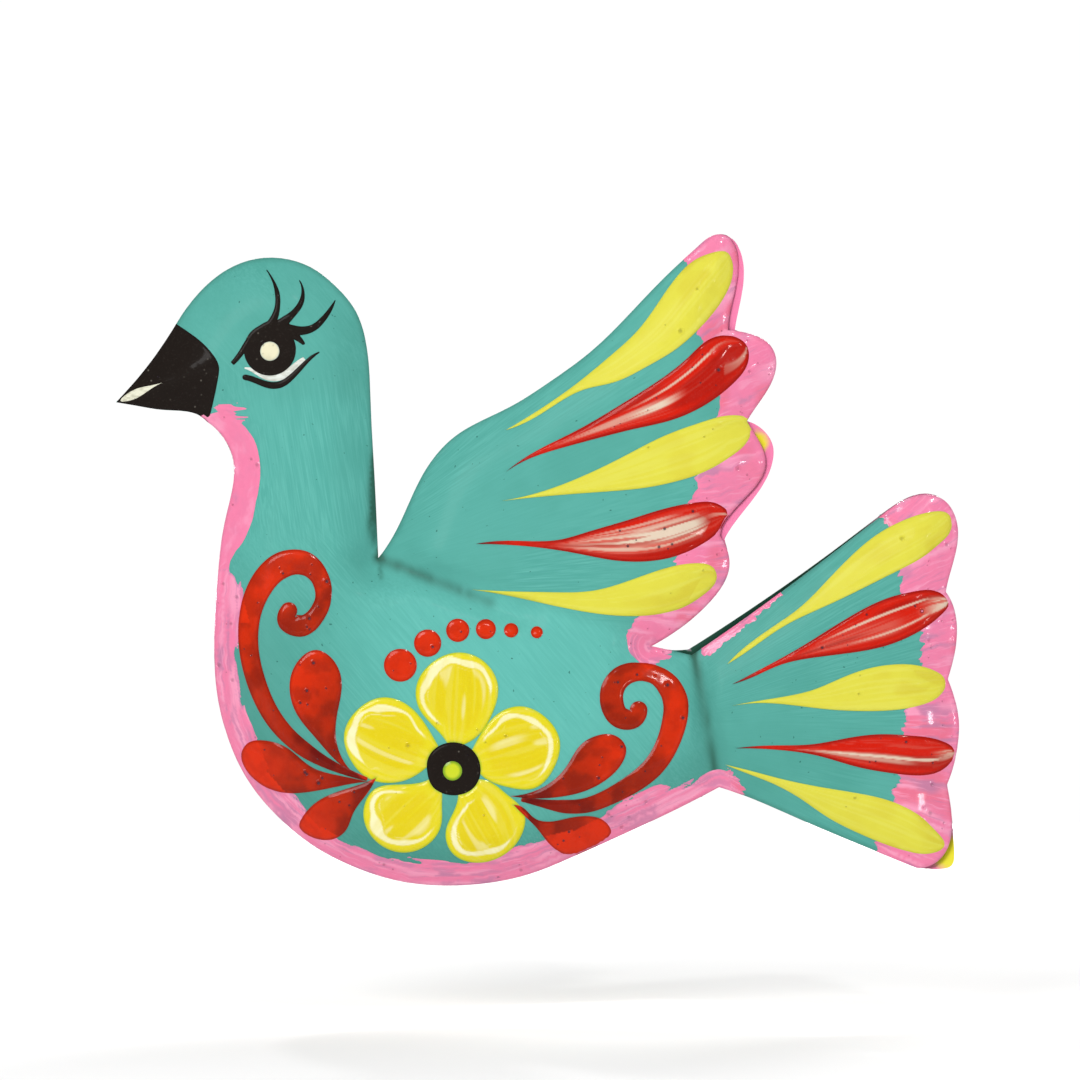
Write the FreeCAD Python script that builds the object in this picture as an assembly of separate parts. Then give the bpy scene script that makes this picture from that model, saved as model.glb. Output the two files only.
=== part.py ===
import FreeCAD, Part
import math
import os
from FreeCAD import Vector

# A hand-painted tin dove, seen from its left side with one wing raised. Two embossed tin sheets, front and
# back, are tacked together round their edges and painted with thick enamel on both faces. A punched tab on
# the back hangs it on a nail.
#
# The bird is drawn in the X-Z plane in millimetres, beak towards -X and wing towards +Z, with the seam
# between the sheets at y = 0 and the front sheet on the -Y side. The finished solids are then shifted so
# that the centre of the tab's hole is the origin.

os.makedirs("parts", exist_ok=True)

# ---- driving dimensions, mm ----
SHEET = 0.5            # tin with its coat of teal
STROKE = 0.5           # a loaded brush stroke of enamel
THIN_STROKE = 0.3      # the fine lines round the eye and the black of the beak
BORDER = 0.2           # the pink wash along the edges
TOP_DOT = 0.35         # a dot that sits on another stroke
ROLL = 14.0            # how far in from its edge the sheet goes on rising
HALF_BOX = 30.0        # half the depth of every cutting prism
REACH = 200.0          # half the width and height of the boxes that cut across the bird
GRID = 3.0             # spacing of the points that the relief is drawn through
RELIEF_MARGIN = 6.0    # how far the relief goes on outside the outline
RIM_STEP = 1.5         # spacing of the points that stand for the rim
PATCH_MARGIN = 4.0     # how much more of the relief than its own outline a stroke is cut from
FINEST_HALF_WIDTH = 0.12   # of a brush line, at its thin end
RIBBON_STEPS = 3       # points drawn for each stretch of a brush line
SMALLEST_AREA = 0.4    # mm2: a scrap of stroke smaller than this is left out

# Embossed lobes: centre x, z, height above the seam, and the gap left between the sheets at their edges.
LOBES = {
    "head": (-55.0, 36.0, 5.6, 0.15),
    "body": (-18.0, -52.0, 8.0, 0.15),
    "wing": (32.0, 8.0, 4.0, 0.2),
    "tail": (90.0, -47.0, 3.8, 1.0),
}
LOBE_REACH = 14.0      # how softly one lobe gives way to the next
LOWEST_RISE = -0.4     # how far the relief goes on down outside the outline, as a share of ROLL
# Creases pressed in at the roots of the wing and the tail: start, end, depth as a share, half width.
CREASES = (
    ((-30.5, -14.5), (6.0, -28.5), 0.62, 4.0),
    ((48.6, -38.8), (54.4, -71.8), 0.78, 2.9),
)
CREASE_FADE = 0.45     # the share of its depth that a crease has lost at its end

TACK_R = 1.7           # solder tacks along the seam
TACK_INSET = 1.3
TACK_PITCH = 44.0
TACK_STEP = 0.8        # spacing of the points that give the seam's direction at a tack

TAB_X, TAB_Z = 11.5, 5.5   # the tab's hole: over the bird's centre of mass, 30 mm above it
TAB_HOLE_R = 2.5
TAB_HALF_WIDTH = 6.0
TAB_SHEET = 0.6
TAB_STAND = 8.9        # from the seam to the middle of the tab's plate: level with the back of the body
TAB_BEND_Z = -0.8      # where the plate turns down to its foot
TAB_FOOT_Z = -6.8
SOLDER_MARGIN = 1.4
SOLDER_THICK = 0.9
SOLDER_CORNER = 1.6    # how much the solder's outline is rounded in


# ---- drawing tools ----
def at(x, z):
    return Vector(x, 0.0, z)


def smooth(points):
    """A smooth edge through the points, given as (x, z)."""
    curve = Part.BSplineCurve()
    curve.interpolate([at(*p) for p in points])
    return curve.toShape()


def filled(edges):
    """The flat area inside the edges, facing +Y."""
    face = Part.Face(Part.Wire(edges))
    return face if face.normalAt(0, 0).y > 0 else Part.Face(Part.Wire(edges).reversed())


def one_tip(points):
    """The area inside a smooth outline that starts and ends in a sharp tip."""
    return filled([smooth(points + points[:1])])


def rounded(points):
    """The area inside a smooth closed outline with no tip."""
    curve = Part.BSplineCurve()
    curve.interpolate([at(*p) for p in points], PeriodicFlag=True)
    return filled([curve.toShape()])


def polygon(points):
    return filled([open_polygon(points + points[:1])])


def open_polygon(points):
    return Part.makePolygon([at(*p) for p in points])


def disc(x, z, r):
    return filled([Part.makeCircle(r, at(x, z), Vector(0, 1, 0))])


def ribbon(stations):
    """A brush line along a smooth centreline, with a round end. Each station is (x, z, width)."""
    curve = Part.BSplineCurve()
    curve.interpolate([at(x, z) for x, z, w in stations])
    knots = [curve.parameter(at(x, z)) for x, z, w in stations]
    left, right = [], []
    last = len(stations) - 2
    for i in range(last + 1):
        for k in range(RIBBON_STEPS + (i == last)):
            f = k / RIBBON_STEPS
            u = knots[i] + (knots[i + 1] - knots[i]) * f
            half = (stations[i][2] + (stations[i + 1][2] - stations[i][2]) * f) / 2
            middle, along = curve.value(u), curve.tangent(u)[0]
            side = Vector(along.z, 0, -along.x) * max(half, FINEST_HALF_WIDTH)
            left.append(middle + side)
            right.append(middle - side)
    edges = []
    for run in (left, right[::-1]):
        line = Part.BSplineCurve()
        line.interpolate(run)
        edges.append(line.toShape())
    start = Part.makeLine(right[0], left[0])
    end = Part.Arc(left[-1], middle + along * half, right[-1]).toShape()
    return filled([edges[0], end, edges[1], start])


def prism(face):
    """The face swept right through the bird, front to back."""
    through = face.copy()
    through.translate(Vector(0, -HALF_BOX, 0))
    return through.extrude(Vector(0, 2 * HALF_BOX, 0))


def slab(low, high):
    """All the space between two depths."""
    return Part.makeBox(2 * REACH, high - low, 2 * REACH, Vector(-REACH, low, -REACH))


# ---- outline of the bird ----
def outline(back=False):
    """The sheet's outline. The back sheet was cut a little larger at the wing's end and the tail."""
    beak_tip, brow, throat = (-96.2, 24.5), (-81.2, 44.0), (-73.3, 19.6)
    neck, pocket, tail_root = (-30.5, -14.5), (37.8, -36.6), (48.0, -38.8)
    wing_1, wing_2, wing_3 = (57.0, 42.5), (61.8, 19.8), (55.0, -9.0)
    tail_1, tail_2, tail_3 = (111.5, -23.0), (112.0, -44.8), (111.8, -71.2)
    corner, tail_foot = (104.2, -92.0), (54.8, -71.8)
    wing_end = [(56.2, 66.3), (58.5, 64.0), (59.5, 60.7), (59.2, 54.5)]
    wing_notch = [(62.9, 17.8), (65.9, 12.5), (66.4, 8.5), (62.5, 1.8)]
    tail_top = [tail_root, (65.0, -27.0), (83.0, -13.5), (96.2, -3.4), (102.0, 0.3), (107.2, 1.3)]
    tail_end = [(112.8, -77.0), (113.0, -82.6), (112.0, -87.0), (109.7, -90.2), (107.0, -91.7)]
    if back:
        wing_1, wing_3, tail_root = (58.8, 42.6), (56.2, -9.8), (47.2, -37.4)
        wing_end = [(56.4, 66.4), (59.3, 64.0), (60.8, 60.0), (60.9, 54.0)]
        wing_notch = [(66.4, 17.0), (68.4, 13.2), (68.4, 10.5), (63.8, 0.8)]
        tail_top = [tail_root, (64.4, -26.2), (82.8, -13.2), (96.1, -3.2), (102.2, 0.6), (107.5, 1.6)]
        tail_end = [(112.9, -77.0), (113.5, -83.6), (113.8, -88.6), (113.2, -91.4), (110.6, -92.4)]
    stretches = (
        [beak_tip, (-90.5, 30.8), brow],
        [brow, (-75.5, 51.8), (-69.2, 57.2), (-62.2, 60.2), (-55.0, 60.6), (-47.2, 58.2), (-40.8, 53.2),
         (-36.4, 47.8), (-33.6, 39.5), (-32.4, 23.5), (-31.4, 5.0), neck],
        [neck, (-24.5, -4.5), (-19.0, 7.0), (-11.5, 15.8), (2.2, 23.2), (13.0, 30.0), (22.5, 37.0),
         (33.7, 48.0), (44.8, 59.2), (49.8, 63.7), (53.0, 66.1)] + wing_end + [wing_1],
        [wing_1, (59.8, 42.2), (63.8, 41.2), (67.2, 39.2), (69.0, 35.8), (68.8, 31.8), (65.8, 25.8), wing_2],
        [wing_2] + wing_notch + [wing_3],
        [wing_3, (57.0, -13.0), (57.4, -16.4), (56.0, -20.8), (52.2, -25.8), (46.5, -31.0), pocket],
        [pocket, (42.0, -37.5), tail_root],
        tail_top + [(111.0, 0.0), (113.6, -3.4), (114.6, -8.0), (113.8, -14.0), tail_1],
        [tail_1, (113.2, -26.0), (114.3, -32.8), (113.6, -39.0), tail_2],
        [tail_2, (113.6, -49.2), (114.8, -55.4), (114.5, -61.3), (113.5, -66.4), tail_3],
        [tail_3] + tail_end + [corner],
        [corner, (92.4, -87.2), (74.8, -79.8), (62.0, -74.3), tail_foot],
        [tail_foot, (42.8, -78.0), (30.0, -84.0), (17.5, -89.6), (8.0, -93.4), (-1.2, -95.6), (-11.5, -96.5),
         (-24.0, -95.6), (-37.5, -91.4), (-47.5, -86.0), (-54.8, -80.0), (-60.8, -73.4), (-65.0, -66.8),
         (-68.2, -59.2), (-70.4, -51.0), (-71.5, -40.5), (-71.4, -30.0), (-70.6, -18.5), (-68.8, -5.0),
         (-66.9, 10.5), (-69.2, 15.6), throat],
        [throat, (-74.8, 20.9), (-84.5, 22.6), (-91.5, 23.7), beak_tip],
    )
    return filled([smooth(points) for points in stretches])


# ---- relief ----
def edge_distance(rim, x, z):
    """How far (x, z) is inside the rim, a list of points close together; negative outside."""
    nearest = min((x - a) ** 2 + (z - b) ** 2 for a, b in rim)
    crossings = 0
    for (xa, za), (xb, zb) in zip(rim, rim[1:] + rim[:1]):
        if (za > z) != (zb > z) and x < xa + (xb - xa) * (z - za) / (zb - za):
            crossings += 1
    return math.sqrt(nearest) * (1 if crossings % 2 else -1)


def crease_share(x, z):
    """The share of the height that the creases leave at (x, z)."""
    share = 1.0
    for (xa, za), (xb, zb), depth, half_width in CREASES:
        dx, dz = xb - xa, zb - za
        t = ((x - xa) * dx + (z - za) * dz) / (dx * dx + dz * dz)
        held = min(max(t, 0.0), 1.0)
        away = math.hypot(x - xa - held * dx, z - za - held * dz)
        share *= 1.0 - depth * (1.0 - CREASE_FADE * held) * math.exp(-((away / half_width) ** 2))
    return share


def relief(rim, x, z):
    """The height of the sheet's inner face above the seam at (x, z)."""
    total = height = gap = 0.0
    for cx, cz, lobe_height, lobe_gap in LOBES.values():
        weight = ((x - cx) ** 2 + (z - cz) ** 2 + LOBE_REACH ** 2) ** -2
        total += weight
        height += weight * lobe_height
        gap += weight * lobe_gap
    inside = max(min(edge_distance(rim, x, z) / ROLL, 1.0), LOWEST_RISE)
    rise = math.sin(math.pi / 2 * inside)
    return gap / total + height / total * rise * crease_share(x, z)


def relief_surface(front_outline):
    """The front sheet's inner face, over the whole drawing."""
    rim = [(p.x, p.z) for p in front_outline.OuterWire.discretize(Distance=RIM_STEP)]
    box = front_outline.BoundBox
    columns = int((box.XLength + 2 * RELIEF_MARGIN) / GRID) + 1
    rows = int((box.ZLength + 2 * RELIEF_MARGIN) / GRID) + 1
    points = []
    for i in range(columns):
        x = box.XMin - RELIEF_MARGIN + i * GRID
        points.append([])
        for j in range(rows):
            z = box.ZMin - RELIEF_MARGIN + j * GRID
            points[-1].append(Vector(x, -relief(rim, x, z), z))
    surface = Part.BSplineSurface()
    surface.interpolate(points)
    return surface


def patch(surface, box):
    """The part of the relief that lies over a box, with a margin."""
    low = surface.parameter(Vector(box.XMin - PATCH_MARGIN, 0, box.ZMin - PATCH_MARGIN))
    high = surface.parameter(Vector(box.XMax + PATCH_MARGIN, 0, box.ZMax + PATCH_MARGIN))
    u_low, u_high, v_low, v_high = surface.bounds()
    piece = surface.copy()
    piece.segment(max(low[0], u_low), min(high[0], u_high), max(low[1], v_low), min(high[1], v_high))
    return piece.toShape()


def layer(surface, area, bottom, thickness):
    """What lies over the area from bottom to bottom + thickness in front of the sheet's inner face."""
    base = patch(surface, area.BoundBox)
    base.translate(Vector(0, -bottom, 0))
    return base.extrude(Vector(0, -thickness, 0)).common(prism(area))


def mirrored(shape):
    return shape.mirror(Vector(0, 0, 0), Vector(0, 1, 0))


# ---- painted areas, listed from the topmost to the lowest ----
def eye_glint():
    return [disc(-57.4, 37.1, 2.4)]


def eye_black():
    """The pupil, in one mass with the lid line, three lashes and a spur at the corner."""
    lid = ribbon([(-66.8, 34.0, 1.1), (-64.5, 36.8, 1.4), (-62.4, 39.8, 1.8), (-59.8, 42.4, 2.0),
                  (-56.0, 43.8, 2.4)])
    lash_1 = ribbon([(-58.4, 57.6, 0.2), (-56.6, 54.6, 0.6), (-55.6, 51.6, 1.2), (-55.5, 48.4, 1.3),
                     (-57.4, 43.6, 2.2)])
    lash_2 = ribbon([(-50.2, 55.0, 0.2), (-49.2, 51.7, 0.8), (-49.6, 49.4, 1.3), (-51.6, 46.5, 1.6),
                     (-55.4, 43.2, 3.0)])
    lash_3 = ribbon([(-41.2, 50.0, 0.2), (-42.3, 47.8, 0.9), (-44.2, 45.1, 1.4), (-46.9, 42.8, 1.8),
                     (-49.6, 42.2, 2.2), (-53.6, 42.6, 3.2)])
    spur = ribbon([(-48.8, 38.8, 0.7), (-50.2, 40.2, 1.5), (-52.4, 41.8, 2.2)])
    black = disc(-57.4, 37.5, 6.5).fuse([lid, lash_1, lash_2, lash_3, spur])
    return [black.removeSplitter()]


def eye_under_line():
    return [ribbon([(-45.0, 36.9, 0.3), (-46.9, 35.7, 0.8), (-49.6, 33.1, 1.2), (-52.3, 30.4, 1.5),
                    (-54.8, 28.8, 1.7), (-57.2, 28.6, 1.7), (-60.4, 29.6, 1.5), (-63.6, 30.6, 1.4)])]


def eye_white():
    return [ribbon([(-48.8, 35.3, 0.9), (-50.9, 33.5, 1.6), (-53.4, 31.4, 1.8), (-56.2, 30.4, 1.6),
                    (-59.0, 31.0, 1.5), (-61.5, 32.3, 1.1), (-63.6, 32.9, 0.4)])]


def beak_highlight():
    return [one_tip([(-84.3, 29.3), (-88.4, 27.0), (-92.6, 24.9), (-95.0, 24.8), (-92.5, 27.1), (-88.6, 28.4)])]


def beak():
    edge = [(-83.6, 46.0), (-75.2, 40.0), (-71.7, 36.4), (-70.1, 33.2), (-70.3, 30.6), (-72.2, 22.5), (-74.2, 15.0)]
    return [filled([smooth(edge), open_polygon([edge[-1], (-100.0, 15.0), (-100.0, 46.0), edge[0]])])]


def flower_dot():
    return [disc(-11.8, -67.5, 2.4)]


def flower_disc():
    return [rounded([(-18.2, -66.8), (-16.4, -62.2), (-12.0, -60.4), (-7.2, -62.0), (-4.8, -66.8),
                     (-6.4, -71.6), (-11.2, -73.6), (-16.6, -71.6)])]


def petals():
    return [
        rounded([(-13.0, -60.8), (-16.8, -56.2), (-20.4, -51.4), (-20.6, -45.6), (-17.2, -40.8), (-10.4, -38.0),
                 (-4.0, -40.2), (-0.5, -46.0), (-2.2, -54.0), (-8.6, -60.8)]),
        rounded([(-15.4, -61.2), (-18.6, -55.8), (-23.4, -50.8), (-29.4, -49.2), (-35.4, -52.2), (-38.8, -58.2),
                 (-37.2, -64.8), (-32.8, -69.4), (-26.6, -70.5), (-18.2, -66.6)]),
        rounded([(-7.0, -62.4), (-3.8, -56.8), (0.2, -52.8), (5.0, -51.4), (11.2, -54.0), (14.9, -59.8),
                 (13.6, -66.6), (8.8, -71.8), (2.0, -71.6), (-5.2, -68.0)]),
        rounded([(-17.6, -69.6), (-25.0, -70.9), (-31.4, -72.2), (-34.0, -77.6), (-31.8, -84.2), (-25.4, -87.9),
                 (-18.6, -86.4), (-14.6, -81.0), (-14.4, -75.4), (-15.0, -71.2)]),
        rounded([(-10.4, -73.0), (-11.4, -77.4), (-13.5, -82.6), (-11.8, -88.2), (-5.6, -90.6), (0.6, -88.9),
                 (5.2, -84.0), (6.1, -78.0), (1.6, -73.2), (-5.2, -69.6)]),
    ]


def left_scroll():
    return [ribbon([(-33.0, -69.6, 0.9), (-40.5, -66.8, 2.2), (-48.4, -62.4, 3.8), (-56.0, -55.0, 4.4),
                    (-60.6, -45.8, 4.8), (-62.7, -36.5, 5.0), (-62.4, -29.0, 5.4), (-59.6, -21.4, 6.2),
                    (-54.2, -16.2, 6.6), (-48.8, -15.8, 6.0), (-45.0, -19.2, 4.6), (-44.0, -24.4, 4.0),
                    (-46.0, -29.0, 4.4), (-49.6, -31.4, 5.4), (-52.8, -30.2, 5.2), (-52.6, -27.6, 4.2)])]


def left_leaves():
    return [
        one_tip([(-35.4, -68.8), (-41.0, -64.8), (-46.2, -59.0), (-50.8, -53.0), (-52.4, -46.6), (-50.6, -40.6),
                 (-45.8, -37.4), (-41.6, -39.8), (-39.4, -45.6), (-40.4, -52.6), (-40.9, -58.6), (-39.4, -64.2)]),
        one_tip([(-33.0, -70.2), (-40.4, -68.6), (-47.0, -66.5), (-53.0, -61.8), (-58.6, -60.0), (-63.4, -61.0),
                 (-64.8, -64.2), (-61.4, -70.0), (-55.4, -72.9), (-47.0, -72.7), (-39.4, -71.2)]),
        one_tip([(-30.8, -69.2), (-37.6, -71.8), (-44.6, -74.6), (-48.8, -78.4), (-50.2, -81.8), (-47.0, -84.4),
                 (-41.8, -84.8), (-38.4, -82.4), (-36.6, -78.2), (-33.4, -73.6)]),
    ]


def right_scroll():
    return [ribbon([(5.3, -74.7, 0.9), (10.5, -75.6, 2.0), (15.8, -76.4, 3.3), (21.8, -76.1, 3.8),
                    (27.4, -74.0, 4.2), (32.6, -71.1, 4.8), (38.2, -66.6, 5.3), (41.8, -60.8, 5.7),
                    (43.6, -55.0, 6.2), (43.8, -50.2, 6.3), (42.0, -46.3, 5.8), (38.8, -43.7, 4.7),
                    (35.0, -42.9, 4.5), (30.7, -43.9, 5.4), (28.2, -46.9, 5.8), (28.0, -51.0, 5.8),
                    (29.9, -54.2, 5.4), (33.0, -54.6, 5.0), (34.6, -52.4, 4.4)])]


def right_leaves():
    return [
        one_tip([(2.6, -73.8), (8.0, -72.8), (13.2, -70.0), (17.0, -65.8), (20.0, -61.2), (24.4, -58.7),
                 (28.6, -58.7), (31.4, -61.6), (30.6, -65.4), (27.0, -69.4), (21.4, -72.5), (15.0, -74.0),
                 (8.6, -74.4)]),
        one_tip([(3.4, -76.0), (6.0, -76.8), (8.6, -79.3), (12.6, -80.2), (17.4, -79.3), (22.0, -78.9),
                 (26.4, -80.4), (27.8, -83.0), (25.0, -86.1), (20.8, -88.4), (16.8, -88.8), (12.6, -86.2),
                 (9.0, -81.6), (6.2, -78.8)]),
    ]


def dots():
    return [disc(*d) for d in ((-24.8, -41.2, 4.1), (-18.0, -35.7, 3.4), (-10.5, -32.5, 2.9),
                               (-3.5, -32.2, 2.5), (2.8, -32.5, 1.8), (9.2, -33.0, 1.5))]


def wing_feathers():
    return [
        one_tip([(1.5, 17.5), (9.5, 22.4), (19.5, 29.4), (27.5, 36.0), (34.5, 42.5), (44.0, 55.6), (48.6, 60.0),
                 (53.2, 61.9), (56.8, 62.0), (58.2, 59.4), (56.8, 52.0), (50.0, 43.0), (43.6, 37.4),
                 (36.5, 33.2), (28.5, 29.4), (21.0, 27.6), (11.0, 22.0)]),
        one_tip([(1.5, 7.0), (9.0, 12.2), (18.5, 17.0), (30.5, 24.0), (40.5, 30.4), (47.0, 35.6), (52.0, 40.0),
                 (56.8, 41.3), (61.6, 38.8), (62.0, 34.4), (58.8, 29.6), (52.0, 24.2), (43.0, 20.0),
                 (33.8, 17.8), (23.5, 15.2), (14.0, 12.6), (8.0, 10.6)]),
        one_tip([(0.6, -0.2), (13.5, 3.1), (23.0, 7.0), (31.5, 11.2), (41.0, 16.0), (51.5, 19.8), (58.0, 21.2),
                 (62.8, 19.8), (62.4, 15.6), (58.2, 11.2), (52.0, 7.4), (45.0, 4.9), (36.0, 3.0), (28.0, 2.2),
                 (17.0, 1.4), (8.0, 0.6)]),
        one_tip([(-6.0, -11.0), (3.5, -10.2), (15.0, -9.9), (21.5, -8.1), (32.0, -5.0), (41.0, -2.2),
                 (49.0, -0.6), (54.6, -1.0), (57.3, -3.6), (55.4, -7.2), (50.0, -11.4), (44.0, -14.0),
                 (37.0, -15.3), (28.0, -15.0), (20.0, -13.5), (10.0, -11.9), (2.0, -11.2)]),
        one_tip([(-7.0, -22.4), (2.0, -22.8), (12.0, -23.0), (23.5, -22.6), (31.5, -20.4), (41.5, -17.0),
                 (48.5, -15.8), (53.6, -17.2), (54.2, -19.8), (51.6, -23.2), (46.8, -26.4), (40.0, -28.5),
                 (31.5, -29.0), (23.0, -28.2), (13.5, -26.4), (3.0, -24.1)]),
    ]


def tail_feathers():
    return [
        one_tip([(56.8, -41.0), (61.4, -36.6), (68.0, -31.8), (75.0, -26.8), (81.5, -20.4), (88.0, -13.8),
                 (94.0, -8.8), (100.5, -5.2), (107.0, -3.1), (112.4, -3.7), (112.8, -7.4), (110.0, -10.8),
                 (105.8, -14.2), (99.5, -17.6), (93.5, -20.6), (82.0, -26.2), (70.5, -31.8), (62.4, -37.4)]),
        one_tip([(58.0, -46.0), (64.5, -42.6), (75.0, -36.8), (83.0, -31.8), (89.0, -28.2), (96.0, -24.8),
                 (103.5, -22.8), (109.5, -22.9), (112.4, -25.2), (109.8, -29.2), (104.0, -33.2), (97.0, -36.2),
                 (88.0, -38.1), (78.0, -39.4), (70.5, -41.0), (64.0, -43.8)]),
        one_tip([(58.0, -51.4), (71.5, -49.0), (78.5, -47.3), (84.0, -45.0), (91.5, -42.2), (100.5, -41.0),
                 (107.5, -42.2), (111.6, -45.6), (110.6, -48.2), (106.0, -51.0), (98.0, -52.5), (90.0, -52.7),
                 (81.0, -52.2), (66.0, -50.7)]),
        one_tip([(59.0, -62.0), (68.5, -61.3), (78.0, -61.0), (86.5, -59.5), (95.0, -58.5), (103.5, -58.9),
                 (110.5, -60.2), (114.0, -63.0), (111.4, -67.0), (106.0, -68.8), (98.5, -68.3), (89.0, -66.6),
                 (80.0, -64.0), (68.5, -62.3)]),
        one_tip([(56.4, -66.2), (62.0, -67.5), (70.0, -69.6), (79.0, -71.5), (88.0, -73.0), (97.0, -75.0),
                 (104.5, -78.6), (109.4, -83.2), (111.3, -86.6), (108.6, -88.2), (102.5, -88.0), (95.0, -85.6),
                 (88.5, -82.8), (82.0, -79.4), (75.0, -74.6), (68.0, -70.8), (61.4, -68.2)]),
    ]


def pink_border(whole):
    """The wash round the breast and belly, over the wing's end, at the tail's root and over the tail's end."""
    breast = [(-76.0, 20.4), (-66.0, 20.2), (-61.8, 15.8), (-59.9, 8.0), (-60.8, -0.6), (-64.2, -10.2),
              (-67.6, -17.4), (-65.0, -22.0), (-65.0, -34.0), (-65.0, -48.0), (-61.4, -58.0), (-55.0, -71.0),
              (-49.0, -77.6), (-38.8, -84.8), (-30.0, -88.6), (-18.0, -90.4), (-7.0, -90.4), (4.0, -86.4),
              (16.0, -82.4), (28.0, -77.6), (37.0, -72.0), (46.0, -71.2), (54.2, -67.4), (58.0, -68.8),
              (60.0, -78.0)]
    wing = [(43.4, 61.4), (48.6, 56.6), (50.2, 47.0), (50.4, 40.0), (54.6, 29.0), (53.4, 18.0), (48.6, 3.0),
            (45.6, -8.0), (43.2, -17.0), (35.6, -28.0), (31.6, -34.4), (33.4, -39.4), (38.4, -41.6),
            (41.6, -39.6), (43.6, -33.0)]
    tail_root = [(49.6, -37.0), (53.6, -40.6), (57.4, -35.8), (63.0, -31.8), (69.6, -25.6), (70.4, -22.6)]
    tail = [(92.0, -3.0), (98.4, -9.0), (99.6, -19.0), (104.4, -32.0), (104.2, -45.0), (100.6, -56.0),
            (99.4, -70.0), (96.6, -80.0), (92.6, -92.0)]
    # Each inner edge is closed by a loose loop outside the bird.
    loops = (
        (breast, [(60.0, -104.0), (-80.0, -104.0), (-80.0, 19.0)]),
        (wing, [(58.0, -24.0), (80.0, -8.0), (80.0, 72.0), (43.4, 72.0)]),
        (tail_root, [(58.0, -24.0)]),
        (tail, [(92.6, -98.0), (120.0, -98.0), (120.0, 8.0), (92.0, 8.0)]),
    )
    areas = [filled([smooth(edge), open_polygon([edge[-1]] + loop + [edge[0]])]) for edge, loop in loops]
    return [area.common(whole) for area in areas]


def paint_plan(whole):
    """Every painted area as (node, areas, bottom above the sheet, thickness), from the top layer down."""
    plan = [
        ("eye_glint", eye_glint(), THIN_STROKE, TOP_DOT),
        ("flower_dot", flower_dot(), STROKE, TOP_DOT),
        ("beak_highlight", beak_highlight(), THIN_STROKE, BORDER),
        ("eye_black", eye_black(), 0.0, THIN_STROKE),
        ("eye_under_line", eye_under_line(), 0.0, THIN_STROKE),
        ("eye_white", eye_white(), 0.0, THIN_STROKE),
        ("beak", beak(), 0.0, THIN_STROKE),
        ("flower_disc", flower_disc(), 0.0, STROKE),
        ("left_scroll", left_scroll(), 0.0, STROKE),
        ("left_leaves", left_leaves(), 0.0, STROKE),
        ("right_scroll", right_scroll(), 0.0, STROKE),
        ("right_leaves", right_leaves(), 0.0, STROKE),
        ("petals", petals(), 0.0, STROKE),
        ("dots", dots(), 0.0, STROKE),
    ]
    for number, feather in enumerate(wing_feathers(), 1):
        plan.append((f"wing_feather_{number}", [feather], 0.0, STROKE))
    for number, feather in enumerate(tail_feathers(), 1):
        plan.append((f"tail_feather_{number}", [feather], 0.0, STROKE))
    plan.append(("pink_border", pink_border(whole), 0.0, BORDER))
    return plan


def painted(surface, whole):
    """{node: the solids of its strokes}. A stroke stops where one above it on the sheet begins."""
    found, covered = {}, None
    for node, areas, bottom, thickness in paint_plan(whole):
        solids = []
        for area in areas:
            area = area.common(whole)
            if covered is not None and bottom == 0.0:
                area = area.cut(covered)
            for face in area.Faces:
                if face.Area > SMALLEST_AREA:
                    solids += layer(surface, face, SHEET + bottom, thickness).Solids
            if bottom == 0.0:
                covered = area if covered is None else covered.fuse(area)
        found[node] = solids
    return found


# ---- metal ----
def tacks(surface, front_outline):
    """Solder tacks between the sheets, one every TACK_PITCH along the seam."""
    rim = front_outline.OuterWire.discretize(Distance=TACK_PITCH)
    fine = front_outline.OuterWire.discretize(Distance=TACK_STEP)
    solids = []
    for point in rim[1:-1]:
        k = min(range(len(fine)), key=lambda i: fine[i].distanceToPoint(point))
        along = fine[(k + 2) % len(fine)] - fine[k - 2]
        inward = Vector(along.z, 0, -along.x).normalize() * TACK_INSET
        centre = point + inward
        if not front_outline.isInside(centre, 0.01, True):
            centre = point - inward
        spot = disc(centre.x, centre.z, TACK_R).common(front_outline)
        half = layer(surface, spot, 0.0, -HALF_BOX).common(slab(-HALF_BOX, 0.0))
        solids += half.fuse(mirrored(half)).removeSplitter().Solids
    return solids


def tab_strip(low, high):
    """The tab's width, between two heights."""
    left, right = TAB_X - TAB_HALF_WIDTH, TAB_X + TAB_HALF_WIDTH
    return polygon([(left, low), (right, low), (right, high), (left, high)])


def hanging_tab(surface):
    """A strip of tin: a foot that lies on the back sheet, a riser, and a plate with a rounded top and a hole."""
    low, high = TAB_STAND - TAB_SHEET / 2, TAB_STAND + TAB_SHEET / 2
    inner_bend_z = TAB_BEND_Z - TAB_SHEET
    foot = mirrored(layer(surface, tab_strip(TAB_FOOT_Z, TAB_BEND_Z), SHEET, TAB_SHEET))
    riser = mirrored(layer(surface, tab_strip(inner_bend_z, TAB_BEND_Z), SHEET, HALF_BOX))
    top = disc(TAB_X, TAB_Z, TAB_HALF_WIDTH)
    plate = tab_strip(inner_bend_z, TAB_Z).fuse(top).cut(disc(TAB_X, TAB_Z, TAB_HOLE_R)).removeSplitter()
    plate.translate(Vector(0, low, 0))
    plate = plate.extrude(Vector(0, TAB_SHEET, 0))
    return foot.fuse([riser.common(slab(-HALF_BOX, high)), plate]).Solids


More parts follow.
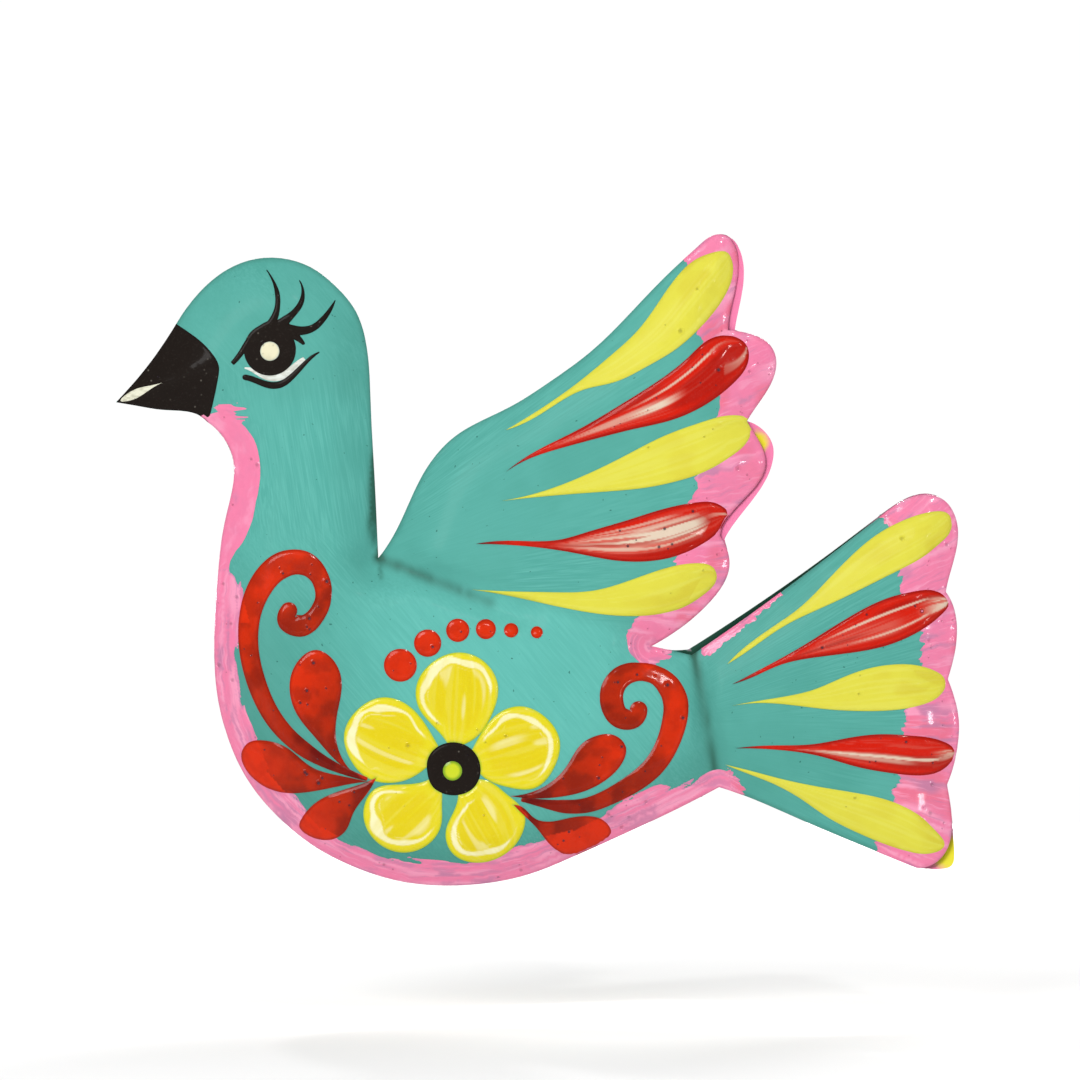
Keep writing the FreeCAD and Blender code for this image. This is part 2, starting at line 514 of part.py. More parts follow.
def tab_solder(surface):
    """A flat bead of solder round the sides and lower edge of the tab's foot."""
    left, right = TAB_X - TAB_HALF_WIDTH - SOLDER_MARGIN, TAB_X + TAB_HALF_WIDTH + SOLDER_MARGIN
    middle, low = (TAB_BEND_Z + TAB_FOOT_Z) / 2, TAB_FOOT_Z - SOLDER_MARGIN
    around = rounded([(left, middle), (left + SOLDER_CORNER, TAB_BEND_Z), (TAB_X, TAB_BEND_Z - SOLDER_MARGIN),
                      (right - SOLDER_CORNER, TAB_BEND_Z), (right, middle), (right - SOLDER_CORNER, low),
                      (TAB_X, low), (left + SOLDER_CORNER, low)])
    ring = around.cut(tab_strip(TAB_FOOT_Z, TAB_BEND_Z))
    return mirrored(layer(surface, ring, SHEET, SOLDER_THICK)).Solids


def export(node, solids):
    shape = solids[0] if len(solids) == 1 else Part.makeCompound(solids)
    shape = shape.copy()
    shape.translate(Vector(-TAB_X, -TAB_STAND, -TAB_Z))
    shape.exportStep(f"parts/{node}.step")
    sound = all(s.isValid() and s.Volume > 0 for s in solids)
    print(node, len(solids), "solids", round(sum(s.Volume for s in solids), 1), "mm3", "" if sound else "BAD")


front_outline, back_outline = outline(), outline(back=True)
surface = relief_surface(front_outline)

export("front_sheet", layer(surface, front_outline, 0.0, SHEET).Solids)
export("back_sheet", mirrored(layer(surface, back_outline, 0.0, SHEET)).Solids)
export("seam_tacks", tacks(surface, front_outline))
export("hanging_tab", hanging_tab(surface))
export("tab_solder", tab_solder(surface))
for node, solids in painted(surface, front_outline).items():
    export(f"front_{node}", solids)
    export(f"back_{node}", [mirrored(s) for s in solids])
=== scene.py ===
import bpy
import math
import numpy as np
from types import SimpleNamespace
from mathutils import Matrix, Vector
from mathutils.bvhtree import BVHTree
from mathutils.geometry import delaunay_2d_cdt
from mathutils.kdtree import KDTree


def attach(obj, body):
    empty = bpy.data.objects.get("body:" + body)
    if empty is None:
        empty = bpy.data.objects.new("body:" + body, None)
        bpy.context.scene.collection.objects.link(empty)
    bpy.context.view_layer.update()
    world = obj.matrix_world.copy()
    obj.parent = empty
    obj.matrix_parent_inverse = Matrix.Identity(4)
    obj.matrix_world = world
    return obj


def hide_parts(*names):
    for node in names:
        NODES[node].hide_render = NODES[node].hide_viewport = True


# The looks of the painted tin dove. Every piece is built over its CAD node: the node gives the outline, the
# thickness and the relief, and this script adds domed brush strokes, pinholes, dry-brushed edges and colour.
# Shapes are worked out in millimetres as (x, z) points with a depth y, and turned into metres at the end.

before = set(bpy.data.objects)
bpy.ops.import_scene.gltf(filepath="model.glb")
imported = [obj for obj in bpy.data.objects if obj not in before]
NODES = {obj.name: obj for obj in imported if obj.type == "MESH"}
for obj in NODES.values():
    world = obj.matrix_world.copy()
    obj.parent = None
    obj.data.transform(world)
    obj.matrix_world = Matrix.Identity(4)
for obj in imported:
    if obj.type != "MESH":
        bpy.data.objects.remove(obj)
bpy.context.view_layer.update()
scene = bpy.context.scene
MM = 0.001

# ---- sizes, mm ----
FINE_STEP = 0.1  # spacing of the samples on a rim
STROKE_STEP = 0.34  # mesh spacing on a brush stroke
STROKE_UNDER_STEP = 2.0  # and on its underside
SHEET_RIM_STEP = 0.36  # along the sheets' rims
SHEET_STEP = 0.42  # on the sheets near the pink's edge; twice this elsewhere
NEAR_PINK = 4.5  # how near that is
INNER_STEP = 1.3  # on the sheets' inner faces
RIM_ROWS = (0.1, 0.28)  # rows of mesh along every rim, so that it can be rounded
ROW_CLEAR = 0.08  # how far the rows keep from other stretches of the rim
SHEET_CLEAR = 0.12  # how far the mesh keeps from those rows, on the sheets
STROKE_CLEAR = 0.1  # and on a stroke
ON_RIM = 0.04  # a point this close to a rim's samples lies on it
SMALLEST_RIM = 0.3  # mm2; a smaller loop of the CAD mesh is no edge of the object
SHARP_ANGLE = math.radians(42)  # of the meshes' edges
CORNER_TURN = 0.7  # radians; where a rim turns more than this it has a corner
EMBED = 0.1  # how far a stroke is sunk into the sheet
RIM_RISE = 0.28  # height of a stroke at its rim, as a share of its dome's
DOME_TOP = 0.92  # height of its dome, as a share of the node's thickness
CARRIED_AT = 0.85  # where a stroke lies on another, as a share of that one's thickness
ROOTED_AT = 0.5  # and where its underside starts
THINNEST_STROKE = 0.06  # what is left at the bottom of a pinhole
DENT = 0.09  # height of the sheet's slow dents
EDGE_ROUND = 0.22  # how much the sheet's edge is rounded down
EDGE_WIDTH = 0.3  # and over which width
CLOSED_GAP = 0.3  # a sheet's edge this close to the seam is closed onto it
OPEN_GAP = 0.8  # and one this far away stays as it is
SEAM_SLIT = 0.01  # what is left between a closed edge and the seam's middle
FILM_OVERLAP = 0.06  # how far the pink paint stands out past the edge
FILM_EMBED = 0.05  # how far it is sunk into the sheet
THINNEST_FILM = 0.03
SLIVER = 0.02  # a point this close to the pink's edge counts as inside it
BEAD_HEIGHT = 0.2  # the bead of pink paint that gathers along the edge
BEAD_PLACE = 0.5
BEAD_WIDTH = 0.42
WRAP = 0.4  # how far the pink paint goes down over the edge
RIM_PROBE = 0.25  # how far inside the edge the paint of the rim is looked up
PINK_PINHOLES = 0.03  # per mm2 of pink
PINHOLE_CLEAR = 0.9  # how far pinholes keep from a stroke's rim
PINK_CLEAR = 0.6  # and from the rim of the pink
PINHOLE_RADIUS = 0.22  # of the smallest pinhole
PINHOLE_SPREAD = 0.5  # how much larger the largest is
PINHOLE_DEPTH = 0.55  # as a share of the radius
PINHOLE_LIP = 0.28  # height of its lip, as a share of the depth

# ---- places in the row frame, mm ----
WING_PIVOT = np.array((-67.0, -30.0))  # where the brush marks of the wing would meet
TAIL_PIVOT = np.array((21.0, -62.5))  # and those of the tail
NOTCH = np.array((-42.0, -20.0))  # the corner between neck and wing
POCKET = np.array((26.3, -42.1))  # the corner between wing and tail
# Painted shade darkens the teal along these creases: start, end, half width.
CREASES = (((37.1, -44.3), (42.9, -77.3), 1.3), ((-42.0, -20.0), (-14.0, -31.0), 1.5),
           ((-42.0, -18.0), (-41.2, -25.0), 0.6))
NECK_SHADE = (-43.2, 1.3)  # painted shade along the back of the neck, by the notch: x, half width
YELLOW_SLOPS = ((53.0, 9.0, 3.2), (101.0, -94.0, 5.2))  # yellow paint on the back sheet's edge: x, z, radius
BODY_MIDDLE = np.array((-6.0, -44.0))  # middle of the pool of light painted on the body
DRY_BRUSH = (-79.0, 16.2, 5.0, 2.8)  # stray pink streaks at the throat: x, z, half width, half height


# ---- small maths ----
def ease(low, high, value):
    """0 below low, 1 above high and smooth between; falls instead where low is above high."""
    f = np.clip((value - low) / (high - low), 0.0, 1.0)
    return f * f * (3.0 - 2.0 * f)


def noise(u, v, seed):
    """Smooth random values from 0 to 1 over a plane, with features about one unit across."""
    cells = 64
    table = np.random.default_rng(seed).random((cells, cells))
    i, j = np.floor(u).astype(int), np.floor(v).astype(int)
    f, g = u - i, v - j
    f, g = f * f * (3.0 - 2.0 * f), g * g * (3.0 - 2.0 * g)
    low, high = (table[i % cells, k % cells] * (1 - f) + table[(i + 1) % cells, k % cells] * f
                 for k in (j, j + 1))
    return low * (1 - g) + high * g


def tree_of(points):
    tree = KDTree(len(points))
    for i, (x, z) in enumerate(points):
        tree.insert((x, z, 0.0), i)
    tree.balance()
    return tree


def nearest(points, tree):
    """(index of the nearest sample, distance to it) for each point."""
    found = [tree.find((x, z, 0.0)) for x, z in points]
    return np.array([f[1] for f in found]), np.array([f[2] for f in found])


def farther(points, tree, distance):
    """The points that are farther than the distance from the tree's samples."""
    return points[nearest(points, tree)[1] > distance] if len(points) else points


def inside(points, rims):
    """Whether each point lies inside the closed rims, counting crossings."""
    odd = np.zeros(len(points), bool)
    x, z = points[:, 0], points[:, 1]
    for rim in rims:
        for (xa, za), (xb, zb) in zip(rim, np.roll(rim, -1, 0)):
            if za != zb:
                odd ^= ((za > z) != (zb > z)) & (x < xa + (xb - xa) * (z - za) / (zb - za))
    return odd


def doubled_area(a, b):
    """Twice the area of the triangle between each pair of flat vectors."""
    return a[:, 0] * b[:, 1] - a[:, 1] * b[:, 0]


def signed_area(rim):
    return float(np.sum(doubled_area(rim, np.roll(rim, -1, 0))) / 2)


def side_of(rim, reach):
    """The unit vector at each point that is square to the rim, to the left of its way round."""
    along = np.roll(rim, -reach, 0) - np.roll(rim, reach, 0)
    return np.stack([-along[:, 1], along[:, 0]], 1) / np.maximum(np.hypot(*along.T), 1e-9)[:, None]


# ---- reading the CAD ----
def cad_mesh(node):
    """A node's vertices in mm, welded, and its triangles."""
    mesh = NODES[node].data
    co = np.empty(len(mesh.vertices) * 3)
    mesh.vertices.foreach_get("co", co)
    mesh.calc_loop_triangles()
    tris = np.empty(len(mesh.loop_triangles) * 3, int)
    mesh.loop_triangles.foreach_get("vertices", tris)
    verts, index = np.unique(np.round(co.reshape(-1, 3) / MM, 4), axis=0, return_inverse=True)
    return verts, index.reshape(-1)[tris].reshape(-1, 3)


def cross_products(verts, tris):
    a, b, c = (verts[tris[:, k]] for k in range(3))
    return np.cross(b - a, c - a)


def outer_faces(node, facing):
    """The node's vertices and those of its triangles that face outwards: facing is -1 in front, 1 behind."""
    verts, tris = cad_mesh(node)
    cross = cross_products(verts, tris)
    return verts, tris[cross[:, 1] * facing > 0.05 * np.linalg.norm(cross, axis=1)]


def thickness(node):
    """How thick the node is along Y, measured on its walls, in mm."""
    verts, _ = cad_mesh(node)
    _, index = np.unique(np.round(verts[:, [0, 2]], 3), axis=0, return_inverse=True)
    index = index.reshape(-1)
    low, high = np.full(index.max() + 1, 1e9), np.full(index.max() + 1, -1e9)
    np.minimum.at(low, index, verts[:, 1])
    np.maximum.at(high, index, verts[:, 1])
    return float(np.median((high - low)[high - low > 0.01]))


def cad_rims(node, facing):
    """The closed loops round the node's outer faces."""
    verts, tris = outer_faces(node, facing)
    follow = {}
    for a, b in sorted(set(map(tuple, rim_edges(tris).tolist()))):
        follow.setdefault(a, []).append(b)
    rims = []
    while follow:
        rim = [min(follow)]
        while rim[-1] in follow:
            onward = follow[rim[-1]]
            step = onward.pop()
            if not onward:
                del follow[rim[-1]]
            if step == rim[0]:
                break
            rim.append(step)
        rims.append(verts[rim][:, [0, 2]])
    return [r for r in rims if len(r) > 2 and abs(signed_area(r)) > SMALLEST_RIM]


def even(rim, step):
    """The rim with points about step apart, smoothed but for its corners, starting at the sharpest."""
    reach, rounds = 4, 6
    closed = np.vstack([rim, rim[:1]])
    run = np.concatenate([[0.0], np.cumsum(np.hypot(*np.diff(closed, axis=0).T))])
    count = max(int(run[-1] / FINE_STEP), 24)
    where = np.arange(count) * run[-1] / count
    fine = np.stack([np.interp(where, run, closed[:, k]) for k in (0, 1)], 1)
    ahead, behind = np.roll(fine, -reach, 0) - fine, fine - np.roll(fine, reach, 0)
    turn = abs(np.angle((ahead[:, 0] + 1j * ahead[:, 1]) / (behind[:, 0] + 1j * behind[:, 1])))
    for _ in range(rounds):
        smoother = (np.roll(fine, 1, 0) + 2 * fine + np.roll(fine, -1, 0)) / 4
        fine = np.where(turn[:, None] > CORNER_TURN, fine, smoother)
    fine = np.roll(fine, -int(np.argmax(turn)), 0)
    keep = np.round(np.linspace(0, count, max(int(run[-1] / step), 16), endpoint=False)).astype(int)
    return fine[keep]


def areas_of(node, facing):
    """The node's separate areas, each a list of its outer rim and the rims of its holes."""
    rims = cad_rims(node, facing)
    outer = [r for r in rims if signed_area(r) * -facing > 0]
    holes = [r for r in rims if signed_area(r) * -facing < 0]
    return [[o] + [h for h in holes if inside(h[:1], [o])[0]] for o in outer]


class Relief:
    """A sheet's outer face: its depth at any (x, z), smoothed between the CAD's facets, with slow dents."""

    def __init__(self, node, facing, seed):
        self.verts, self.tris = outer_faces(node, facing)
        self.tree = BVHTree.FromPolygons([Vector((x, 0.0, z)) for x, _, z in self.verts], self.tris.tolist())
        normals = np.zeros_like(self.verts)
        for k in range(3):
            np.add.at(normals, self.tris[:, k], cross_products(self.verts, self.tris))
        lean = np.where(abs(normals[:, 1]) > 1e-9, normals[:, 1], 1.0)
        self.slope = -normals[:, [0, 2]] / lean[:, None]
        self.facing, self.seed = facing, seed

    def __call__(self, points):
        found = [self.tree.find_nearest(Vector((x, 0.0, z))) for x, z in points]
        face = self.tris[np.array([f[2] for f in found])]
        corner = self.verts[face]
        place = np.array([(f[0].x, f[0].z) for f in found])
        flat = corner[:, :, [0, 2]]
        ab, ac, ap = flat[:, 1] - flat[:, 0], flat[:, 2] - flat[:, 0], place - flat[:, 0]
        whole = doubled_area(ab, ac)
        whole = np.where(abs(whole) > 1e-12, whole, 1e-12)
        wb, wc = doubled_area(ap, ac) / whole, doubled_area(ab, ap) / whole
        weight = np.clip(np.stack([1 - wb - wc, wb, wc], 1), 0.0, 1.0)
        bent = np.einsum("ijk,ijk->ij", self.slope[face], place[:, None] - flat)
        depth = np.sum(weight * (corner[:, :, 1] + 0.5 * bent), 1)
        x, z = points.T
        broad, small = noise(x / 9, z / 9, self.seed), noise(x / 4, z / 4, self.seed + 1)
        return depth + self.facing * DENT * (broad + small * 0.35 - 0.67)


# ---- meshes ----
def placed(name, data):
    """A new object in the scene."""
    made = bpy.data.objects.new(name, data)
    scene.collection.objects.link(made)
    return made


def rim_edges(tris):
    """The directed edges that only one triangle has."""
    edges = np.vstack([tris[:, [0, 1]], tris[:, [1, 2]], tris[:, [2, 0]]])
    key, back = edges[:, 0] * 10**7 + edges[:, 1], edges[:, 1] * 10**7 + edges[:, 0]
    return edges[~np.isin(key, back)]


def lattice(rims, step, keep=None):
    """Points of a triangular lattice inside the rims. keep(points) can thin it out to every second row."""
    row_step = step * 0.866
    low, high = rims[0].min(0), rims[0].max(0)
    j = np.arange(int((high[1] - low[1]) / row_step) + 2)
    i = np.arange(int((high[0] - low[0]) / step) + 2)
    i, j = (a.ravel() for a in np.meshgrid(i, j))
    points = np.stack([low[0] + (i + 0.5 * (j % 2)) * step, low[1] + j * row_step], 1)
    if keep is not None:
        wide = (j % 2 == 0) & ((i + j // 2) % 2 == 0)
        points = points[wide | keep(points)]
    return points[inside(points, rims)]


def skin(rims, spread):
    """(points, triangles) that fill the rims, through the spread points."""
    points = np.vstack(rims + [spread])
    edges, start = [], 0
    for rim in rims:
        edges += [(start + i, start + (i + 1) % len(rim)) for i in range(len(rim))]
        start += len(rim)
    out = delaunay_2d_cdt([Vector(p) for p in points], edges, [], 1, 1e-5, False)
    flat, tris = np.array([tuple(v) for v in out[0]]), np.array(out[2])
    doubtful = (tris < start).any(1)
    keep = ~doubtful
    keep[doubtful] = inside(flat[tris[doubtful]].mean(1), rims)
    return flat, tris[keep]


def cut_at_zero(flat, tris, depth, fields):
    """Keeps the part of the triangles where depth is positive. Fields are carried to the new corners."""
    up = depth[tris] > 0
    partly = up.any(1) & ~up.all(1)
    # The cut triangles are turned so that each starts with a corner inside and ends with one outside.
    first = np.argmax(up & ~np.roll(up, 1, 1), 1)[partly]
    a, b, c = np.take_along_axis(tris[partly], (first[:, None] + range(3)) % 3, 1).T
    two_inside = depth[b] > 0
    edges = np.vstack([np.stack([c, a], 1), np.where(two_inside, (b, c), (a, b)).T])
    edges, index = np.unique(np.sort(edges, 1), axis=0, return_inverse=True)
    fresh_ca, fresh = index.reshape(2, -1) + len(flat)
    left = (tris[up.all(1)], np.stack([a, fresh, fresh_ca], 1), np.stack([a, b, fresh], 1)[two_inside])
    low, high = edges.T
    share = depth[low] / (depth[low] - depth[high])
    used, index = np.unique(np.vstack(left), return_inverse=True)
    flat, *fields = [np.concatenate([f, (f[low].T * (1 - share) + f[high].T * share).T])[used]
                     for f in (flat, *fields, depth)]
    return flat, index.reshape(-1, 3), fields


class Shell:
    """Gathers closed solids, each a top skin, an underside and the walls between them, into one mesh."""

    def __init__(self, facing):
        self.facing, self.verts, self.tris, self.values = facing, [], [], {}

    def add(self, flat, tris, top, under, values, under_values=None):
        """under is (points, triangles, depths) with the same rim points as the top skin."""
        under_flat, under_tris, under_y = under
        under_values = under_values or {}
        n = len(flat)
        verts = np.vstack([np.insert(flat, 1, top, 1), np.insert(under_flat, 1, under_y, 1)])
        spots = {(round(x, 3), round(z, 3)): n + i for i, (x, z) in enumerate(under_flat.tolist())}
        rim = rim_edges(tris)
        ends = flat[rim].tolist()
        below = np.array([[spots.get((round(x, 3), round(z, 3)), -1) for x, z in pair] for pair in ends])
        rim = np.hstack([rim, below])[(below >= 0).all(1)]
        faces = np.vstack([tris, rim[:, [1, 0, 2]], rim[:, [1, 2, 3]], under_tris[:, ::-1] + n])
        if self.facing > 0:
            faces = faces[:, ::-1]
        for key, value in {**values, **under_values}.items():
            full = np.zeros((len(verts),) + np.shape(value)[1:])
            full[:n] = values.get(key, 0.0)
            full[n:] = under_values.get(key, 0.0)
            self.values.setdefault(key, []).append(full)
        self.tris.append(faces + sum(map(len, self.verts)))
        self.verts.append(verts)

    def finish(self, name, node, material):
        mesh = bpy.data.meshes.new(name)
        verts, tris = np.vstack(self.verts) * MM, np.vstack(self.tris)
        mesh.from_pydata(verts.tolist(), [], tris.tolist())
        for key, parts in self.values.items():
            data = np.concatenate(parts)
            kind, field = ("FLOAT", "value") if data.ndim == 1 else ("FLOAT_VECTOR", "vector")
            mesh.attributes.new(key, kind, "POINT").data.foreach_set(field, data.astype(np.float32).ravel())
        mesh.shade_smooth()
        mesh.set_sharp_from_angle(angle=SHARP_ANGLE)
        mesh.materials.append(material)
        piece = placed(name, mesh)
        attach(piece, "root")
        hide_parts(node)


# ---- pinholes ----
def pick_pinholes(rims, per_mm2, clear, rng):
    """Random pinholes inside the rims: x, z, radius, depth."""
    count = int(abs(signed_area(rims[0])) * per_mm2 + rng.random())
    if not count:
        return np.zeros((0, 4))
    tries_per_pinhole = 12
    spots = rng.uniform(rims[0].min(0), rims[0].max(0), (count * tries_per_pinhole, 2))
    spots = farther(spots[inside(spots, rims)], tree_of(np.vstack(rims)), clear)[:count]
    radius = PINHOLE_RADIUS + PINHOLE_SPREAD * rng.random(len(spots)) ** 2.5
    return np.column_stack([spots, radius, radius * PINHOLE_DEPTH])


def clear_and_ring(points, holes):
    """The points with a fine ring pattern in place of whatever lay in each pinhole."""
    for x, z, radius, _ in holes:
        points = points[np.hypot(points[:, 0] - x, points[:, 1] - z) > radius * 1.75]
        rings = [(x, z)]
        for share, count in ((0.45, 6), (0.85, 9), (1.15, 11), (1.5, 12)):
            turn = np.arange(count) * 2 * math.pi / count
            rings += list(zip(x + radius * share * np.cos(turn), z + radius * share * np.sin(turn)))
        points = np.vstack([points, rings])
    return points


def pinhole_depth(points, holes):
    """(how deep each point is sunk, negative on a pinhole's lip; the share of the full depth, 0 to 1)."""
    sunk, share = np.zeros(len(points)), np.zeros(len(points))
    for x, z, radius, depth in holes:
        away = np.hypot(points[:, 0] - x, points[:, 1] - z) / radius
        pit = np.clip(1 - away * away, 0, 1)
        sunk += depth * pit - PINHOLE_LIP * depth * np.exp(-(((away - 1.2) / 0.22) ** 2))
        share = np.maximum(share, pit)
    return sunk, share


# ---- where the brush went ----
def lengthwise(points, rim):
    """(across 0 to 1, along 0 to 1, length in mm) on a stroke whose rim starts at its tip."""
    reach = np.hypot(*(rim - rim[0]).T)
    far = int(np.argmax(reach))
    left, right = rim[: far + 1], np.vstack([rim[far:], rim[:1]])[::-1]
    i_left, d_left = nearest(points, tree_of(left))
    i_right, d_right = nearest(points, tree_of(right))
    across = d_left / np.maximum(d_left + d_right, 1e-6)
    along = (i_left / max(len(left) - 1, 1) + i_right / max(len(right) - 1, 1)) / 2
    return across, along, float(reach.max())


def petal_lines(points, flower):
    """(across, along, length in mm) on a petal: lines of equal across run like meridians from base to tip."""
    way = points.mean(0) - flower
    way /= np.hypot(*way)
    out = (points - flower) @ way
    side = (points - flower) @ np.array((-way[1], way[0]))
    base, tip = out.min() - 2.0, out.max() + 1.5
    width = np.sqrt(np.maximum((out - base) * (tip - out), 1.0))
    return 0.5 + side / width, (out - base) / (tip - base), float(tip - base)


def regions(points):
    """How far each point belongs to the neck, the wing and the tail. The rest is the body."""
    x, z = points[:, 0], points[:, 1]
    above_root = z - (NOTCH[1] + (POCKET[1] - NOTCH[1]) / (POCKET[0] - NOTCH[0]) * (x - NOTCH[0]))
    over_tail = z - (-41.0 + 0.7 * (x - 36.0))
    wing = ease(-1.0, 5.0, above_root) * ease(-43.0, -39.0, x) * np.where(x > 36.0, over_tail > 0, 1.0)
    tail = ease(35.5, 43.5, x + 0.2 * (z + 44.0)) * (1 - wing) * np.where(x > 36.0, over_tail <= 0, 0.0)
    neck = ease(-24.0, -8.0, z) * ease(34.0, 20.0, z) * (1 - wing) * (1 - tail)
    return np.stack([neck, wing, tail], 1)


def polar(points, pivot):
    """(across, along) in mm for brush marks that spread from a pivot."""
    away = points - pivot
    return np.stack([np.arctan2(away[:, 1], away[:, 0]) * 70.0, np.hypot(*away.T)], 1)


def marks(across, along):
    """Coordinates for a noise that is drawn out along the brush marks."""
    return np.stack([across, along, np.zeros(len(across))], 1)


def shade_in_creases(points):
    """Painted shade in the creases: 1 along the bottom of each crease, falling off to its sides and towards
    its end.
    """
    dirt = np.zeros(len(points))
    for start, end, half_width in CREASES:
        start, way = np.array(start), np.array(end) - np.array(start)
        along = np.clip((points - start) @ way / (way @ way), 0.0, 1.0)
        away = np.hypot(*(points - start - along[:, None] * way).T)
        dirt = np.maximum(dirt, np.exp(-(away / half_width) ** 2) * (1.0 - 0.4 * along))
    return dirt


# ---- materials ----
LIGHT_LEVEL = 0.74  # reflectance that looks as bright as a colour's own value in this light
GLOSS_VEIL = 0.008  # what the room's reflection in the gloss adds to every colour
DARKEST = 0.002
COAT_ROUGHNESS = 0.09
BUMP_DISTANCE = 0.00012  # m, on paint
INSIDE_A_PINHOLE = (62, 54, 66)

# Paints: base, light, deep and under colours as seen, then roughness, coat and how mottled, and for streaky
# paint how far its bump follows the brush and how strongly the brush leaves lines of the other colours.
PAINTS = {
    "pink": ((242, 131, 169), (248, 168, 198), (188, 130, 166), (232, 104, 122), 0.34, 0.3, 0.12, 0.6, 0.5),
    "lemon": ((223, 217, 80), (228, 226, 108), (208, 186, 58), (166, 198, 80), 0.5, 0.03, 0.1, 0.6),
    "golden": ((229, 215, 44), (248, 243, 192), (225, 199, 26), (172, 198, 50), 0.28, 0.2, 0.12, 0.6),
    "dark_red": ((210, 42, 16), (226, 206, 184), (120, 18, 12), (104, 40, 40), 0.3, 0.12, 0.05, 0.7),
    "orange_red": ((162, 48, 8), (218, 78, 32), (98, 24, 12), (222, 56, 8), 0.26, 0.14, 0.2),
    "black": ((44, 40, 38), (214, 206, 190), (30, 26, 26), (60, 52, 50), 0.4, 0.05, 0.03),
    "cream": ((234, 229, 196), (224, 230, 226), (142, 138, 112), (160, 184, 180), 0.32, 0.12, 0.2),
    "lime": ((206, 218, 48), (228, 236, 110), (132, 170, 44), (128, 168, 44), 0.24, 0.25, 0.15),
}
# The teal coat: its furrows, and what lies on them, in this order. The pale colour is a painted pool of
# light, and the dark green-grey after it is painted shade.
TEAL_FURROW = (90, 171, 160)
ON_TEAL = {
    "ridge": (101, 182, 171), "shade": (85, 164, 152), "scuff": (126, 198, 188), "pale": (114, 203, 193),
    "painted_shade": (50, 84, 68), "speck": (40, 82, 74), "pink": (244, 136, 178), "yellow": (236, 228, 60),
    "bare": (120, 122, 118),
}


def linear(rgb):
    """A colour given as seen, 0 to 255, as the linear reflectance that looks so in this light."""
    c = np.array(rgb) / 255.0
    c = np.where(c <= 0.04045, c / 12.92, ((c + 0.055) / 1.055) ** 2.4) * LIGHT_LEVEL - GLOSS_VEIL
    return (*np.maximum(c, DARKEST).tolist(), 1.0)


def fill(tree, node, inputs):
    """Gives a node its inputs, each a plain value or another node's socket."""
    for key, value in inputs.items():
        if isinstance(value, bpy.types.NodeSocket):
            tree.links.new(value, node.inputs[key])
        else:
            node.inputs[key].default_value = value


def add(tree, kind, output, inputs, **settings):
    """An output of a new node with these inputs and settings."""
    node = tree.nodes.new(kind)
    for key, value in settings.items():
        setattr(node, key, value)
    fill(tree, node, inputs)
    return node.outputs[output]


def new_material(name, roughness, coat, specular, metallic=0.0):
    material = bpy.data.materials.new(name)
    material.use_nodes = True
    tree = material.node_tree
    shader = tree.nodes["Principled BSDF"]
    fill(tree, shader, {"Roughness": roughness, "Specular IOR Level": specular, "Metallic": metallic,
                        "Coat Weight": coat, "Coat Roughness": COAT_ROUGHNESS})
    return material, tree, shader


def object_coordinates(tree):
    return add(tree, "ShaderNodeTexCoord", "Object", {})


def attribute(tree, name, output="Fac"):
    return add(tree, "ShaderNodeAttribute", output, {}, attribute_name=name)


def noise_node(tree, vector, scale, detail=3.0, distortion=0.0):
    inputs = {"Vector": vector, "Scale": scale, "Detail": detail, "Distortion": distortion}
    return add(tree, "ShaderNodeTexNoise", "Fac", inputs)


def stretched(tree, vector, scale, turn):
    """Coordinates turned about Y and then scaled, so that a noise is drawn out along a slanting direction."""
    inputs = {"Vector": vector, "Angle": turn}
    turned = add(tree, "ShaderNodeVectorRotate", "Vector", inputs, rotation_type="Y_AXIS")
    return add(tree, "ShaderNodeMapping", "Vector", {"Vector": turned, "Scale": scale})


def to_range(tree, value, low, high, bottom=0.0, top=1.0):
    inputs = {"Value": value, "From Min": low, "From Max": high, "To Min": bottom, "To Max": top}
    return add(tree, "ShaderNodeMapRange", "Result", inputs, interpolation_type="SMOOTHSTEP")


def mixed(tree, factor, a, b, kind="FLOAT"):
    """Mixes a into b. Either can be a socket or a plain value."""
    first, second, out = (6, 7, 2) if kind == "RGBA" else (2, 3, 0)
    return add(tree, "ShaderNodeMix", out, {0: factor, first: a, second: b}, data_type=kind)


def layered(tree, colour, layers):
    """The colour with others laid over it: how much of each, and its colour as seen."""
    for share, seen in layers:
        colour = mixed(tree, share, colour, linear(seen), "RGBA")
    return colour


def math_node(tree, operation, a, b):
    return add(tree, "ShaderNodeMath", 0, {0: a, 1: b}, operation=operation)


def bump(tree, height, strength, distance):
    inputs = {"Height": height, "Strength": strength, "Distance": distance}
    return add(tree, "ShaderNodeBump", "Normal", inputs)


def enamel(name, base, light, deep, under, roughness, coat, mottle, streaky=0.0, veins=0.0):
    """Thick paint. The mesh says where the light, the deep and the under colours are."""
    material, tree, shader = new_material(name, roughness, coat, coat * 0.25)
    place = object_coordinates(tree)
    layers = [
        (attribute(tree, "under"), under),
        (to_range(tree, noise_node(tree, place, 260.0, 4.0), 0.42, 0.72, 0.0, mottle), deep),
        (to_range(tree, noise_node(tree, place, 1900.0, 2.0), 0.55, 0.8, 0.0, mottle * 0.6), light),
        (attribute(tree, "light"), light),
        (attribute(tree, "deep"), deep),
        (attribute(tree, "pit"), INSIDE_A_PINHOLE),
    ]
    surface = noise_node(tree, place, 700.0)
    if streaky:
        lines = noise_node(tree, attribute(tree, "brush", "Vector"), 1.0)
        surface = mixed(tree, streaky, surface, lines)
    if veins:
        layers.append((to_range(tree, lines, 0.56, 0.74, 0.0, veins), deep))
        layers.append((to_range(tree, lines, 0.46, 0.3, 0.0, veins), light))
    patchy = noise_node(tree, place, 420.0)
    fill(tree, shader, {
        "Base Color": layered(tree, linear(base), layers),
        "Roughness": to_range(tree, patchy, 0.35, 0.7, roughness * 0.75, roughness * 1.3),
        "Normal": bump(tree, surface, 0.35, BUMP_DISTANCE),
    })
    return material


